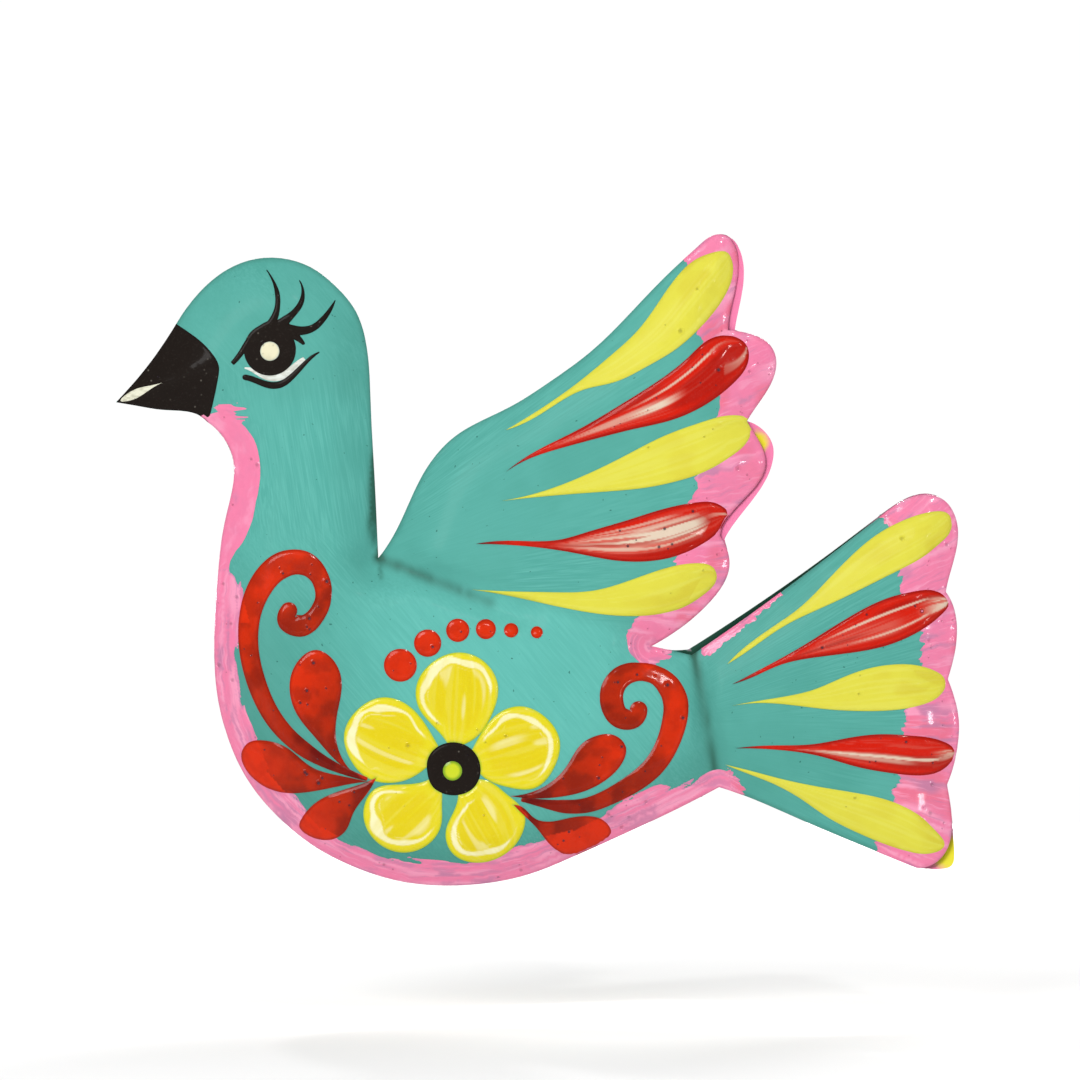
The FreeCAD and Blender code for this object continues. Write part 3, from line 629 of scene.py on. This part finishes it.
def teal_paint():
    """The ground coat: satin teal with brush marks that follow the body, the wing and the tail."""
    material, tree, shader = new_material("teal_paint", 0.46, 0.01, 0.05)
    place = object_coordinates(tree)
    region = attribute(tree, "region", "Vector")
    # The belly's brush marks, and over them those of the neck, the wing and the tail.
    limbs = (stretched(tree, place, (2200.0, 2200.0, 80.0), 0.16), attribute(tree, "wing_brush", "Vector"),
             attribute(tree, "tail_brush", "Vector"))
    lines = noise_node(tree, stretched(tree, place, (2200.0, 2200.0, 110.0), 0.7), 1.0, 3.0, 0.3)
    for axis, along in enumerate(limbs):
        weight = add(tree, "ShaderNodeSeparateXYZ", axis, {0: region})
        lines = mixed(tree, weight, lines, noise_node(tree, along, 1.0, 3.0, 0.3))
    # In calm patches the marks hardly show.
    calm = to_range(tree, noise_node(tree, place, 26.0, 2.0), 0.4, 0.6, 0.1, 0.8)
    lines = mixed(tree, calm, lines, 0.54)
    broad = noise_node(tree, place, 45.0, 4.0)
    worn = to_range(tree, broad, 0.3, 0.5, 0.35, 0.0)
    # The pale share paints a pool of light on the body and the dark green-grey share paints shade.
    share = {key: attribute(tree, key) for key in ("pale", "painted_shade", "pink", "yellow", "bare")}
    share["ridge"] = to_range(tree, lines, 0.38, 0.7)
    share["shade"] = to_range(tree, broad, 0.45, 0.75, 0.0, 0.6)
    share["scuff"] = math_node(tree, "MULTIPLY", to_range(tree, lines, 0.6, 0.78), worn)
    share["speck"] = to_range(tree, noise_node(tree, place, 1300.0, 0.0), 0.85, 0.87, 0.0, 0.6)
    fill(tree, shader, {
        "Base Color": layered(tree, linear(TEAL_FURROW), [(share[k], seen) for k, seen in ON_TEAL.items()]),
        "Roughness": to_range(tree, lines, 0.35, 0.7, 0.34, 0.5),
        "Normal": bump(tree, lines, 0.2, BUMP_DISTANCE),
    })
    return material


def metal(name, colour, dark, roughness, lumps, depth):
    material, tree, shader = new_material(name, roughness, 0.0, 0.5, 1.0)
    place = object_coordinates(tree)
    patch = to_range(tree, noise_node(tree, place, lumps, 5.0), 0.4, 0.7)
    scratch = noise_node(tree, stretched(tree, place, (60.0, 900.0, 1700.0), 0.4), 1.0, 4.0)
    fill(tree, shader, {
        "Base Color": layered(tree, linear(colour), [(patch, dark)]),
        "Roughness": to_range(tree, scratch, 0.3, 0.7, roughness * 0.7, roughness * 1.4),
        "Normal": bump(tree, math_node(tree, "ADD", scratch, patch), 0.4, depth),
    })
    return material


MATERIALS = {"teal": teal_paint(), **{key: enamel(f"{key}_paint", *paint) for key, paint in PAINTS.items()}}


# ---- looks of each family of strokes: how far each of the paint's colours shows at every point ----
def cloud(at, size, number):
    """Soft patches of about this size, mm, a different pattern for each number."""
    return noise(at.x / size, at.z / size, at.seed + number)


def hair_lines(at, across, along, number):
    """Hairs that run along the stroke: how many lie across it and along it."""
    return noise(at.across * across, at.along * along, at.seed + number)


def red_scroll_looks(at):
    """Bright where it crosses pink or yellow and at its round end, dark along its stem, cloudy between."""
    rim = ease(0.75, 0.1, at.rim)
    if at.stroke == "dots":
        return {"under": 0.9 * np.ones(len(rim)), "deep": 0.35 * rim}
    share = at.out / at.out.max()
    patchy = cloud(at, 3.6, 0) * 0.8 + cloud(at, 1, 1) * 0.2
    bright = np.maximum(at.over_bright, 0.6 * ease(0.7, 1.0, share) + 0.3 * ease(0.6, 0.3, patchy))
    stem = 0.65 * ease(0.75, 0.4, share) * (1 - at.over_bright)
    deep = np.maximum(0.45 * rim, stem + 0.3 * ease(0.4, 0.8, patchy) * (1 - bright))
    return {"under": np.clip(bright, 0, 1), "deep": np.clip(deep, 0, 1)}


# Streaks of cream in the two-colour feathers: place across, half width, start and end along, strength.
CREAM_STREAKS = {
    "wing_feather_2": ((0.48, 0.15, 0.22, 0.60, 0.50), (0.46, 0.085, 0.42, 0.66, 1.1),
                       (0.74, 0.025, 0.5, 0.95, 0.8), (0.30, 0.08, 0.95, 1.10, 1.2)),
    "wing_feather_4": ((0.46, 0.27, 0.34, 0.92, 0.75), (0.44, 0.17, 0.44, 0.92, 1.2),
                       (0.78, 0.03, 0.4, 0.8, 0.5), (0.55, 0.06, 0.95, 1.10, 1.0)),
    "tail_feather_2": ((0.40, 0.20, 0.30, 0.78, 0.14), (0.70, 0.03, 0.42, 0.96, 0.85),
                       (0.28, 0.025, 0.5, 0.95, 0.7), (0.45, 0.24, 0.90, 1.10, 1.2)),
    "tail_feather_4": ((0.36, 0.11, 0.26, 0.80, 0.55), (0.40, 0.04, 0.3, 0.98, 0.95),
                       (0.50, 0.16, 0.94, 1.10, 1.1)),
}
HAIRLINE = 0.07  # a streak of a smaller half width has no red hairs through it


def red_feather_looks(at):
    """Red and cream loaded on one brush: cream streaks with red hairs through them, dark edges."""
    hair, broad = hair_lines(at, 26.0, 4.0, 0), hair_lines(at, 7.0, 2.5, 1)
    light = np.zeros(len(at.across))
    wander = 0.07 * (noise(at.along * 4.0, at.along * 0.0, at.seed + 2) - 0.5)
    for place, half, start, end, strength in CREAM_STREAKS[at.stroke]:
        band = ease(1.25, 0.65, abs(at.across - (place + wander)) / half)
        band *= ease(start - 0.08, start + 0.16, at.along) * ease(end + 0.04, end - 0.10, at.along)
        cut = ease(0.28, 0.55, hair) if half > HAIRLINE else 1.0
        light = np.maximum(light, strength * band * (0.25 + 0.75 * cut))
    pinkish = 0.06 * ease(0.55, 0.8, hair) * ease(0.15, 0.4, at.along)
    pinkish *= ease(0.05, 0.2, at.across) * ease(0.95, 0.8, at.across)
    deep = np.maximum(0.6 * ease(1.1, 0.15, at.rim), 0.4 * ease(0.5, 0.75, broad)) * ease(0.1, 0.35, at.along)
    light = np.clip(np.maximum(light, pinkish), 0, 1)
    return {"light": light, "deep": deep * (1 - light), "under": ease(0.16, 0.0, at.along)}


def lemon_feather_looks(at):
    """Flat yellow with pale hairs, an orange smear near its round end, and a greenish edge and tip."""
    smear = ease(0.55, 0.85, hair_lines(at, 5.0, 9.0, 1)) * ease(0.5, 0.8, at.along)
    return {
        "light": 0.35 * ease(0.5, 0.8, hair_lines(at, 22.0, 4.0, 0)),
        "deep": 0.35 * smear,
        "under": np.maximum(0.4 * ease(0.35, 0.05, at.rim), 0.3 * ease(0.12, 0.0, at.along)),
    }


def petal_looks(at):
    """Golden middle with hairs, a cream arc that is heavy on one side of the rim, a greenish edge."""
    x, z, rim = at.x, at.z, at.rim
    outward = math.atan2(z.mean() - at.flower[1], x.mean() - at.flower[0])
    heavy = outward + np.random.default_rng(at.seed).uniform(-1.3, 1.3)
    heavy_side = (0.5 + 0.5 * np.cos(np.arctan2(z - z.mean(), x - x.mean()) - heavy)) ** 1.3
    hair = hair_lines(at, 17.0, 1.8, 0)
    place = 1.3 + 1.7 * cloud(at, 5, 1)
    half = 0.95 * heavy_side * (0.3 + cloud(at, 3.2, 2)) * ease(7.0, 11.0, at.out)
    ring = ease(half + 0.16, half - 0.12, abs(rim - place)) * ease(0.06, 0.2, half)
    second = ease(0.2, 0.06, abs(rim - place - 1.1 - cloud(at, 4, 5)))
    second *= ease(0.45, 0.9, heavy_side) * ease(0.4, 0.6, cloud(at, 3, 6))
    smear = ease(0.66, 0.82, hair_lines(at, 8.0, 2.4, 3)) * ease(2.4, 3.6, rim)
    light = np.maximum(ring * (0.75 + 0.3 * hair), np.maximum(0.55 * second, 0.5 * smear))
    light = np.clip(light + 0.07 * ease(0.58, 0.78, hair), 0, 1)
    golden = ease(1.8, 3.6, rim) * (0.3 + 0.25 * ease(0.6, 0.35, hair))
    shadow = 0.4 * ease(0.3, 0.05, abs(rim - place - half - 0.2)) * ease(0.3, 0.6, half)
    return {
        "light": light,
        "deep": np.maximum(golden * (1 - light), shadow * (1 - ring)),
        "under": 0.85 * ease(0.55, 0.08, rim),
    }


def black_looks(at):
    dust = noise(at.x * 2.3, at.z * 2.3, at.seed)
    return {"light": 0.25 * ease(0.96, 0.99, dust), "deep": 0.3 * ease(0.3, 0.05, at.rim)}


def cream_looks(at):
    dust = noise(at.x * 2.0, at.z * 2.0, at.seed)
    if at.stroke == "eye_glint":
        return {"deep": 0.8 * ease(0.84, 0.95, dust), "under": 0.6 * ease(0.35, 0.05, at.rim)}
    grey = ease(0.45, 0.75, noise(at.x * 0.9, at.z * 2.6, at.seed + 1))
    white = 0.9 if at.stroke == "eye_white" else 0.35
    return {"light": white * np.ones(len(dust)), "deep": 0.35 * grey}


def lime_looks(at):
    return {"deep": ease(0.9, 0.2, at.rim)}


# family: looks, paint, slot, pinholes per mm2, dome width, brush ridge height, how dark its pinholes are
FAMILIES = {
    "scroll": (red_scroll_looks, "orange_red", "orange_red_enamel", 0.028, 1.3, 0.0, 0.85),
    "red_feather": (red_feather_looks, "dark_red", "dark_red_enamel", 0.02, 1.1, 0.09, 0.85),
    "lemon_feather": (lemon_feather_looks, "lemon", "lemon_enamel", 0.006, 0.9, 0.02, 0.3),
    "petal": (petal_looks, "golden", "golden_yellow_enamel", 0.006, 1.2, 0.07, 0.3),
    "black": (black_looks, "black", "black_enamel", 0.004, 0.8, 0.0, 0.3),
    "cream": (cream_looks, "cream", "cream_enamel", 0.0, 0.7, 0.0, 0.3),
    "lime": (lime_looks, "lime", "lime_enamel", 0.0, 1.4, 0.0, 0.3),
}
STROKES = {
    **dict.fromkeys(("left_scroll", "left_leaves", "right_scroll", "right_leaves", "dots"), "scroll"),
    "petals": "petal",
    **dict.fromkeys(("flower_disc", "beak", "eye_black", "eye_under_line"), "black"),
    **dict.fromkeys(("eye_white", "beak_highlight", "eye_glint"), "cream"),
    "flower_dot": "lime",
    **{f"{limb}_feather_{n}": "red_feather" if n in (2, 4) else "lemon_feather"
       for limb in ("wing", "tail") for n in (1, 2, 3, 4, 5)},
}
ON_TOP = {"eye_glint": "eye_black", "flower_dot": "flower_disc", "beak_highlight": "beak"}


# ---- the two painted faces ----
# The solder tacks reach as far in front of the seam as behind it.
tack_y = cad_mesh("seam_tacks")[0][:, 1]
SEAM_Y = (tack_y.min() + tack_y.max()) / 2


def fine_skin(rims, tree, points, clear, holes):
    """(points, triangles) that fill the rims, with rows along them, the given points and the pinholes."""
    turn = 1 if signed_area(rims[0]) > 0 else -1
    rows = np.vstack([rim + side_of(rim, 1) * turn * offset for rim in rims for offset in RIM_ROWS])
    rows = farther(rows[inside(rows, rims)], tree, ROW_CLEAR)
    spread = np.vstack([farther(points, tree, RIM_ROWS[-1] + clear), rows])
    return skin(rims, clear_and_ring(spread, holes))


def coarse_skin(rims, tree, step, clear):
    """(points, triangles) that fill the same rims with points about step apart."""
    return skin(rims, farther(lattice(rims, step), tree, clear))


class Face:
    """One painted face of the dove: the sheet, its relief and everything drawn on it."""

    def __init__(self, side, facing, seed):
        self.side, self.facing, self.seed = side, facing, seed
        self.relief = Relief(f"{side}_sheet", facing, seed)
        rims = cad_rims(f"{side}_sheet", facing)
        self.rims = [even(r, SHEET_RIM_STEP) for r in rims]
        samples = np.vstack([even(r, FINE_STEP) for r in rims])
        self.rim_tree, self.rim_out = tree_of(samples), side_of(samples, 3) * facing
        self.areas = {s: areas_of(f"{side}_{s}", facing) for s in STROKES}
        disc = np.vstack([a[0] for a in self.areas["flower_disc"]])
        self.flower = (disc.min(0) + disc.max(0)) / 2
        self.petal_tree = tree_of(np.vstack([even(r, 0.2) for a in self.areas["petals"] for r in a]))
        self.pink_rims = [r for a in areas_of(f"{side}_pink_border", facing) for r in a]
        self.drawn = [r for s, areas in self.areas.items() if s not in ON_TOP for a in areas for r in a]
        self.find_pink_edge()

    def find_pink_edge(self):
        """Where the pink wash ends on bare teal: samples of that edge and the way into the pink at each."""
        drawn_tree = tree_of(np.vstack([even(r, 0.15) for r in self.drawn]))
        edge, inward = [], []
        for rim in self.pink_rims:
            rim = even(rim, 0.2)
            free = (nearest(rim, self.rim_tree)[1] > 0.5) & (nearest(rim, drawn_tree)[1] > 0.3)
            edge.append(rim[free])
            inward.append(side_of(rim, 2)[free] * -self.facing)
        self.edge, self.inward = np.vstack(edge), np.vstack(inward)
        self.edge_tree = tree_of(self.edge)

    def pink_depth(self, points):
        """How far each point is inside the pink, negative outside, with a dry brush's ragged edge.

        Also its distance from the sheet's rim, the brush's streaks there, and coordinates along its marks."""
        x, z = points.T
        index, away = nearest(points, self.edge_tree)
        side = np.sum((points - self.edge[index]) * self.inward[index], 1)
        rim_index, rim_away = nearest(points, self.rim_tree)
        probe = points - self.rim_out[rim_index] * RIM_PROBE * (rim_away < RIM_PROBE)[:, None]
        in_pink = inside(probe, self.pink_rims)
        under_stroke = inside(probe, self.drawn) & ~in_pink
        depth = np.where(in_pink, away, np.where(under_stroke, np.sign(side) * away, -away))
        # The brush followed the rim of the body, and spread from a pivot on the wing and the tail.
        _, wing, tail = regions(points).T
        spread = np.where((wing > 0.5)[:, None], polar(points, WING_PIVOT), polar(points, TAIL_PIVOT))
        u = np.where(wing + tail > 0.5, spread[:, 0], rim_away) + 0.6 * noise(x / 2, z / 2, self.seed + 9)
        v = np.where(wing + tail > 0.5, spread[:, 1], rim_index * FINE_STEP)
        ragged = 2.2 * (noise(u * 0.9, v * 0.13, self.seed + 10) - 0.5)
        ragged += 1.3 * (noise(u * 2.4, v * 0.3, self.seed + 11) - 0.5)
        streak = noise(u * 1.3, v * 0.08, self.seed + 12)
        wild = 1.0 - 0.85 * (1.0 - wing - tail) * ease(-25.0, -21.0, z)
        depth = depth + ragged * ease(6.0, 2.0, abs(depth)) * wild
        # Along the tail's upper edge only a strip with teeth is pink.
        at_root = (x > 30.0) & (x < 75.0) & (z > -48.0) & (wing < 0.5) & (depth > -1.0) & (rim_away < 7.0)
        strip = 2.4 * ease(72.0, 40.0, x) + 1.2 * (noise(x * 0.9, z * 0.9, self.seed) - 0.6)
        depth = np.where(at_root, np.minimum(depth, strip - rim_away), depth)
        # The stray marks at the throat.
        middle_x, middle_z, half_x, half_z = DRY_BRUSH
        away = np.hypot((x - middle_x) / half_x, (z - middle_z) / half_z)
        hairs = noise(x * 0.25, z * 2.3, self.seed + 15)
        depth = np.where(away < 1.0, np.maximum(depth, 1.6 * (hairs - 0.42 - 0.3 * away ** 2)), depth)
        return depth, rim_away, streak, np.stack([u * 1.6 * wild, v * 0.12, wild], 1)

    def sheet(self):
        """The sheet and the film of pink over it, which follows the sheet's own mesh."""
        rng = np.random.default_rng(self.seed)
        holes = np.vstack([pick_pinholes([r], PINK_PINHOLES, PINK_CLEAR, rng) for r in self.pink_rims])
        points = lattice(self.rims, SHEET_STEP, lambda p: nearest(p, self.edge_tree)[1] < NEAR_PINK)
        flat, tris = fine_skin(self.rims, self.rim_tree, points, SHEET_CLEAR, holes)
        depth, rim_away, streak, brush = self.pink_depth(flat)
        top = self.relief(flat) - self.facing * EDGE_ROUND * (1 - ease(0.0, EDGE_WIDTH, rim_away)) ** 2
        limb = regions(flat)
        under = self.inner_face()
        shell = Shell(self.facing)
        shell.add(flat, tris, top, under, self.outer_looks(flat, limb, rim_away), self.inner_looks(under[0]))
        shell.finish(f"{self.side}_sheet_painted", f"{self.side}_sheet", MATERIALS["teal"])
        self.film(flat, tris, depth, [top, rim_away, streak, limb, brush], holes)

    def inner_face(self):
        """Points, triangles and depths. The rim is closed onto the seam, except where it is far from it."""
        flat, tris = coarse_skin(self.rims, self.rim_tree, INNER_STEP, 0.5)
        y = self.relief(flat) - self.facing * thickness(f"{self.side}_sheet")
        gap = self.facing * (y - SEAM_Y)
        meets = (nearest(flat, self.rim_tree)[1] < ON_RIM) & (gap > SEAM_SLIT)
        closed = SEAM_Y + self.facing * np.maximum(gap * ease(CLOSED_GAP, OPEN_GAP, gap), SEAM_SLIT)
        return flat, tris, np.where(meets, closed, y)

    def outer_looks(self, flat, limb, rim_away):
        """Brush marks for the wing and the tail, painted shade, and a pool of light painted on the belly's
        middle.
        """
        x, z = flat.T
        neck, wing, tail = limb.T
        out_x, out_z = (flat - BODY_MIDDLE).T
        # Painted shade towards the lower, outer parts of the belly.
        shaded_belly_edge = ease(30.0, 78.0, np.hypot(out_x, out_z * 1.45)) * (1.0 - neck - wing - tail)
        shaded_belly_edge *= ease(-12.0, -50.0, z)
        # Painted shade along the back of the neck.
        neck_shade = np.exp(-(((x - NECK_SHADE[0]) / NECK_SHADE[1]) ** 2))
        neck_shade *= ease(-20.0, -10.0, z) * ease(12.0, -2.0, z)
        patchy = noise(x / 1.2, z / 4, self.seed + 20)
        # Painted shade: in the creases, at the back of the neck, along the rim, towards the belly's edge, on
        # the head's top and a little over the wing and the tail.
        painted_shade = np.maximum(neck_shade * (0.4 + patchy), shade_in_creases(flat) * (0.45 + 0.4 * patchy))
        painted_shade += 0.22 * ease(1.3, 0.1, rim_away) + 0.3 * shaded_belly_edge
        painted_shade += 0.09 * ease(14.0, 26.0, z) * (1 - wing) + 0.06 * wing + 0.1 * tail
        return {
            "region": limb,
            "wing_brush": marks(*(polar(flat, WING_PIVOT) * (2.2, 0.1)).T),
            "tail_brush": marks(*(polar(flat, TAIL_PIVOT) * (2.2, 0.1)).T),
            "painted_shade": np.clip(painted_shade, 0, 0.85),
            # A pool of light painted on the middle of the body.
            "pale": 0.4 * ease(62.0, 14.0, np.hypot(out_x, out_z)) * (1.0 - wing - tail),
        }

    def inner_looks(self, flat):
        """Pink over the edges of wing and tail, yellow slops, painted shade in the gap above the tail, bare
        tin inside.
        """
        x, z = flat.T
        _, wing, tail = regions(flat).T
        rim_away = nearest(flat, self.rim_tree)[1]
        tail_top = ease(32.0, 34.0, x) * ease(88.0, 78.0, x) * (wing < 0.5)
        band = ease(5.0, 2.0, rim_away) * ease(0.4, 0.8, wing + tail) * (1 - tail_top)
        slop = np.zeros(len(flat))
        for slop_x, slop_z, radius in YELLOW_SLOPS:
            slop = np.maximum(slop, ease(radius, radius * 0.6, np.hypot(x - slop_x, z - slop_z)))
        return {
            "pink": band,
            "yellow": slop,
            "bare": (1 - band) * ease(1.5, 4.0, rim_away),
            # Painted shade in the gap between the sheets above the tail.
            "painted_shade": 0.95 * tail_top,
        }

    def film(self, flat, tris, depth, fields, holes):
        """The pink wash: the part of the sheet's skin where depth is positive, cut along its zero line."""
        flat, tris, fields = cut_at_zero(flat, tris, np.where(abs(depth) < SLIVER, SLIVER, depth), fields)
        ground, rim_away, streak, limb, brush, depth = fields
        x, z = flat.T
        wash = thickness(f"{self.side}_pink_border")
        layer = wash * (0.12 + 0.55 * ease(0.0, 0.9, depth) + 0.3 * (streak - 0.5))
        layer += BEAD_HEIGHT * np.exp(-(((rim_away - BEAD_PLACE) / BEAD_WIDTH) ** 2)) * ease(0.0, 0.8, depth)
        sunk, pit = pinhole_depth(flat, holes)
        layer = np.maximum(layer - sunk, THINNEST_FILM)
        on_edge = rim_away < ON_RIM
        out = flat.copy()
        out[on_edge] += self.rim_out[nearest(flat[on_edge], self.rim_tree)[0]] * FILM_OVERLAP
        under_y = ground - self.facing * np.where(on_edge, WRAP, FILM_EMBED)
        wild, on_limb = ease(0.2, 0.9, brush[:, 2]), limb[:, 1:].sum(1)
        hairs = noise(brush[:, 0] * 1.3, brush[:, 1] * 0.6, self.seed + 16)
        patches = noise(x / 5, z / 5, self.seed + 13)
        thin = ease(0.55, 0.85, patches) * ease(0.5, 0.7, streak) * wild
        hairs = 0.75 * ease(0.48, 0.68, hairs) * ease(0.3, 0.5, patches)
        thin = np.maximum(thin, hairs * wild * (1 - on_limb))
        salmon = ease(0.55, 0.8, noise(x / 7, z / 7, self.seed + 14)) * on_limb
        values = {
            "light": 0.7 * ease(0.5, 0.8, streak) * (1 - thin) * wild,
            "deep": np.maximum(0.75 * thin, 0.8 * ease(0.6, 0.1, depth) * ease(0.35, 0.6, streak) * wild),
            "under": 0.5 * np.clip(salmon, 0, 1),
            "pit": 0.4 * pit,
            "brush": brush,
        }
        shell = Shell(self.facing)
        shell.add(out, tris, ground + self.facing * layer, (out, tris, under_y), values)
        shell.finish(f"{self.side}_pink_wash", f"{self.side}_pink_border", MATERIALS["pink"])

    def brushed(self, stroke, seed, flat, rim, rim_away, ridged):
        """What a stroke's looks are worked out from, coordinates along its brush marks, and their ridges."""
        away = flat - self.flower
        at = SimpleNamespace(stroke=stroke, seed=seed, rim=rim_away, x=flat[:, 0], z=flat[:, 1],
                             flower=self.flower, out=np.hypot(*away.T))
        if STROKES[stroke] == "scroll":
            pink = ease(-0.3, 0.3, self.pink_depth(flat)[0])
            at.over_bright = np.maximum(pink, ease(1.0, 0.4, nearest(flat, self.petal_tree)[1]))
        if not ridged:
            return at, marks(np.arctan2(away[:, 1], away[:, 0]) * 28.0, at.out * 0.15), 0.0
        lines = petal_lines(flat, self.flower) if STROKES[stroke] == "petal" else lengthwise(flat, rim)
        at.across, at.along, length = lines
        ridges = noise(at.across * 9.0, at.along * 3.0, seed + 5) - 0.5
        return at, marks(at.across * 16.0, at.along * length * 0.08), ridges

    def stroke(self, stroke, order):
        """One node's brush strokes, each domed, with ridges along the brush marks and pinholes."""
        looks, paint, slot, per_mm2, dome, ridge, pit_strength = FAMILIES[STROKES[stroke]]
        node = f"{self.side}_{stroke}"
        full = thickness(node)
        carrier = thickness(f"{self.side}_{ON_TOP[stroke]}") if stroke in ON_TOP else 0.0
        shell = Shell(self.facing)
        for number, area in enumerate(self.areas[stroke]):
            seed = self.seed * 1000 + order * 20 + number
            rims = [even(r, STROKE_STEP) for r in area]
            tree = tree_of(np.vstack([even(r, FINE_STEP) for r in area]))
            holes = pick_pinholes(rims, per_mm2, PINHOLE_CLEAR, np.random.default_rng(seed))
            flat, tris = fine_skin(rims, tree, lattice(rims, STROKE_STEP), STROKE_CLEAR, holes)
            rim_away = nearest(flat, tree)[1]
            at, brush, ridges = self.brushed(stroke, seed, flat, rims[0], rim_away, ridge > 0)
            rise = RIM_RISE + (1 - RIM_RISE) * np.sin(np.clip(rim_away / dome, 0, 1) * math.pi / 2)
            layer = full * rise * DOME_TOP + 2 * ridge * ridges * ease(0.2, 0.9, rim_away)
            sunk, pit = pinhole_depth(flat, holes)
            layer = np.maximum(layer - sunk, THINNEST_STROKE)
            top = self.relief(flat) + self.facing * (carrier * CARRIED_AT + layer)
            under_flat, under_tris = coarse_skin(rims, tree, STROKE_UNDER_STEP, 0.6)
            under_y = self.relief(under_flat) + self.facing * (carrier * ROOTED_AT - EMBED)
            blank = dict.fromkeys(("light", "deep", "under"), np.zeros(len(flat)))
            pits = pit_strength * ease(0.35, 0.75, pit)
            shell.add(flat, tris, top, (under_flat, under_tris, under_y),
                      {**blank, **looks(at), "pit": pits, "brush": brush})
        shell.finish(f"{node}_paint", node, MATERIALS[paint])


for side, facing, seed in (("front", -1, 11), ("back", 1, 47)):
    face = Face(side, facing, seed)
    face.sheet()
    for order, stroke in enumerate(STROKES):
        face.stroke(stroke, order)

# ---- metal that stays as CAD made it ----
tin = metal("bare_tin", (176, 176, 170), (120, 118, 112), 0.38, 180.0, 0.00008)
solder = metal("solder", (150, 150, 146), (98, 97, 94), 0.46, 420.0, 0.0003)
for node, material in (("hanging_tab", tin), ("tab_solder", solder), ("seam_tacks", solder)):
    NODES[node].data.materials.clear()
    NODES[node].data.materials.append(material)

# ---- stage, light and camera, in metres ----
FLOOR_Z = -0.135
FLOOR_RADIUS = 1.1
FLOOR_CORNERS = 96
FLOOR_GREY = 0.86
ROOM_LIGHT = 0.56
WALL_LIGHT = 1.02
WALL_EDGE = (0.93, 0.985)  # the share of +Y in a direction where the wall begins, and where it is white
LAMP_TARGET = Vector((0.0, 0.0, -0.02))
# Each face's lamps: how far to its viewer's left, out from the face and up; diameter; watts.
LAMPS = {
    "key": (0.45, 1.2, 0.5, 0.55, 12.5),
    "glint": (-0.3, 1.05, 0.85, 0.1, 3.0),
    "edge_glint": (-0.85, 1.05, 0.0, 0.1, 1.3),
}
VIEW_CENTRE = Vector((-0.0015, -0.012, -0.0155))
VIEW_WIDTH = 0.270
CAMERA_AWAY = 1.6
SENSOR_WIDTH = 36.0  # mm

ring = [(FLOOR_RADIUS * math.cos(t), FLOOR_RADIUS * math.sin(t), FLOOR_Z)
        for t in np.linspace(0, 2 * math.pi, FLOOR_CORNERS, endpoint=False)]
floor_mesh = bpy.data.meshes.new("floor")
floor_mesh.from_pydata(ring, [], [list(range(len(ring)))])
floor = placed("floor", floor_mesh)
floor_material, floor_tree, floor_shader = new_material("floor", 0.9, 0.0, 0.0)
fill(floor_tree, floor_shader, {"Base Color": (FLOOR_GREY, FLOOR_GREY, FLOOR_GREY, 1.0)})
floor_mesh.materials.append(floor_material)

# The room is an even pale grey, with a white wall far behind the bird.
world = bpy.data.worlds.new("studio")
world.use_nodes = True
room = world.node_tree
direction = add(room, "ShaderNodeTexCoord", "Generated", {})
towards_y = add(room, "ShaderNodeSeparateXYZ", 1, {0: direction})
wall = to_range(room, towards_y, *WALL_EDGE, ROOM_LIGHT, WALL_LIGHT)
fill(room, room.nodes["Background"], {"Strength": wall, "Color": (1.0, 1.0, 1.0, 1.0)})
scene.world = world

for sign, side in ((-1, "front"), (1, "back")):
    for name, (left, out, up, size, power) in LAMPS.items():
        lamp = bpy.data.lights.new(f"{side}_{name}", "AREA")
        lamp.shape, lamp.size, lamp.energy = "DISK", size, power
        light = placed(f"{side}_{name}", lamp)
        light.location = (sign * left, sign * out, up)
        light.rotation_euler = (LAMP_TARGET - light.location).to_track_quat("-Z", "Y").to_euler()

camera_data = bpy.data.cameras.new("camera")
camera_data.sensor_width = SENSOR_WIDTH
camera_data.lens = SENSOR_WIDTH * CAMERA_AWAY / VIEW_WIDTH
camera = placed("camera", camera_data)
camera.location = VIEW_CENTRE + Vector((0.0, -CAMERA_AWAY, 0.0))
camera.rotation_euler = (math.radians(90.0), 0.0, 0.0)
scene.camera = camera
scene.view_settings.view_transform = "Standard"
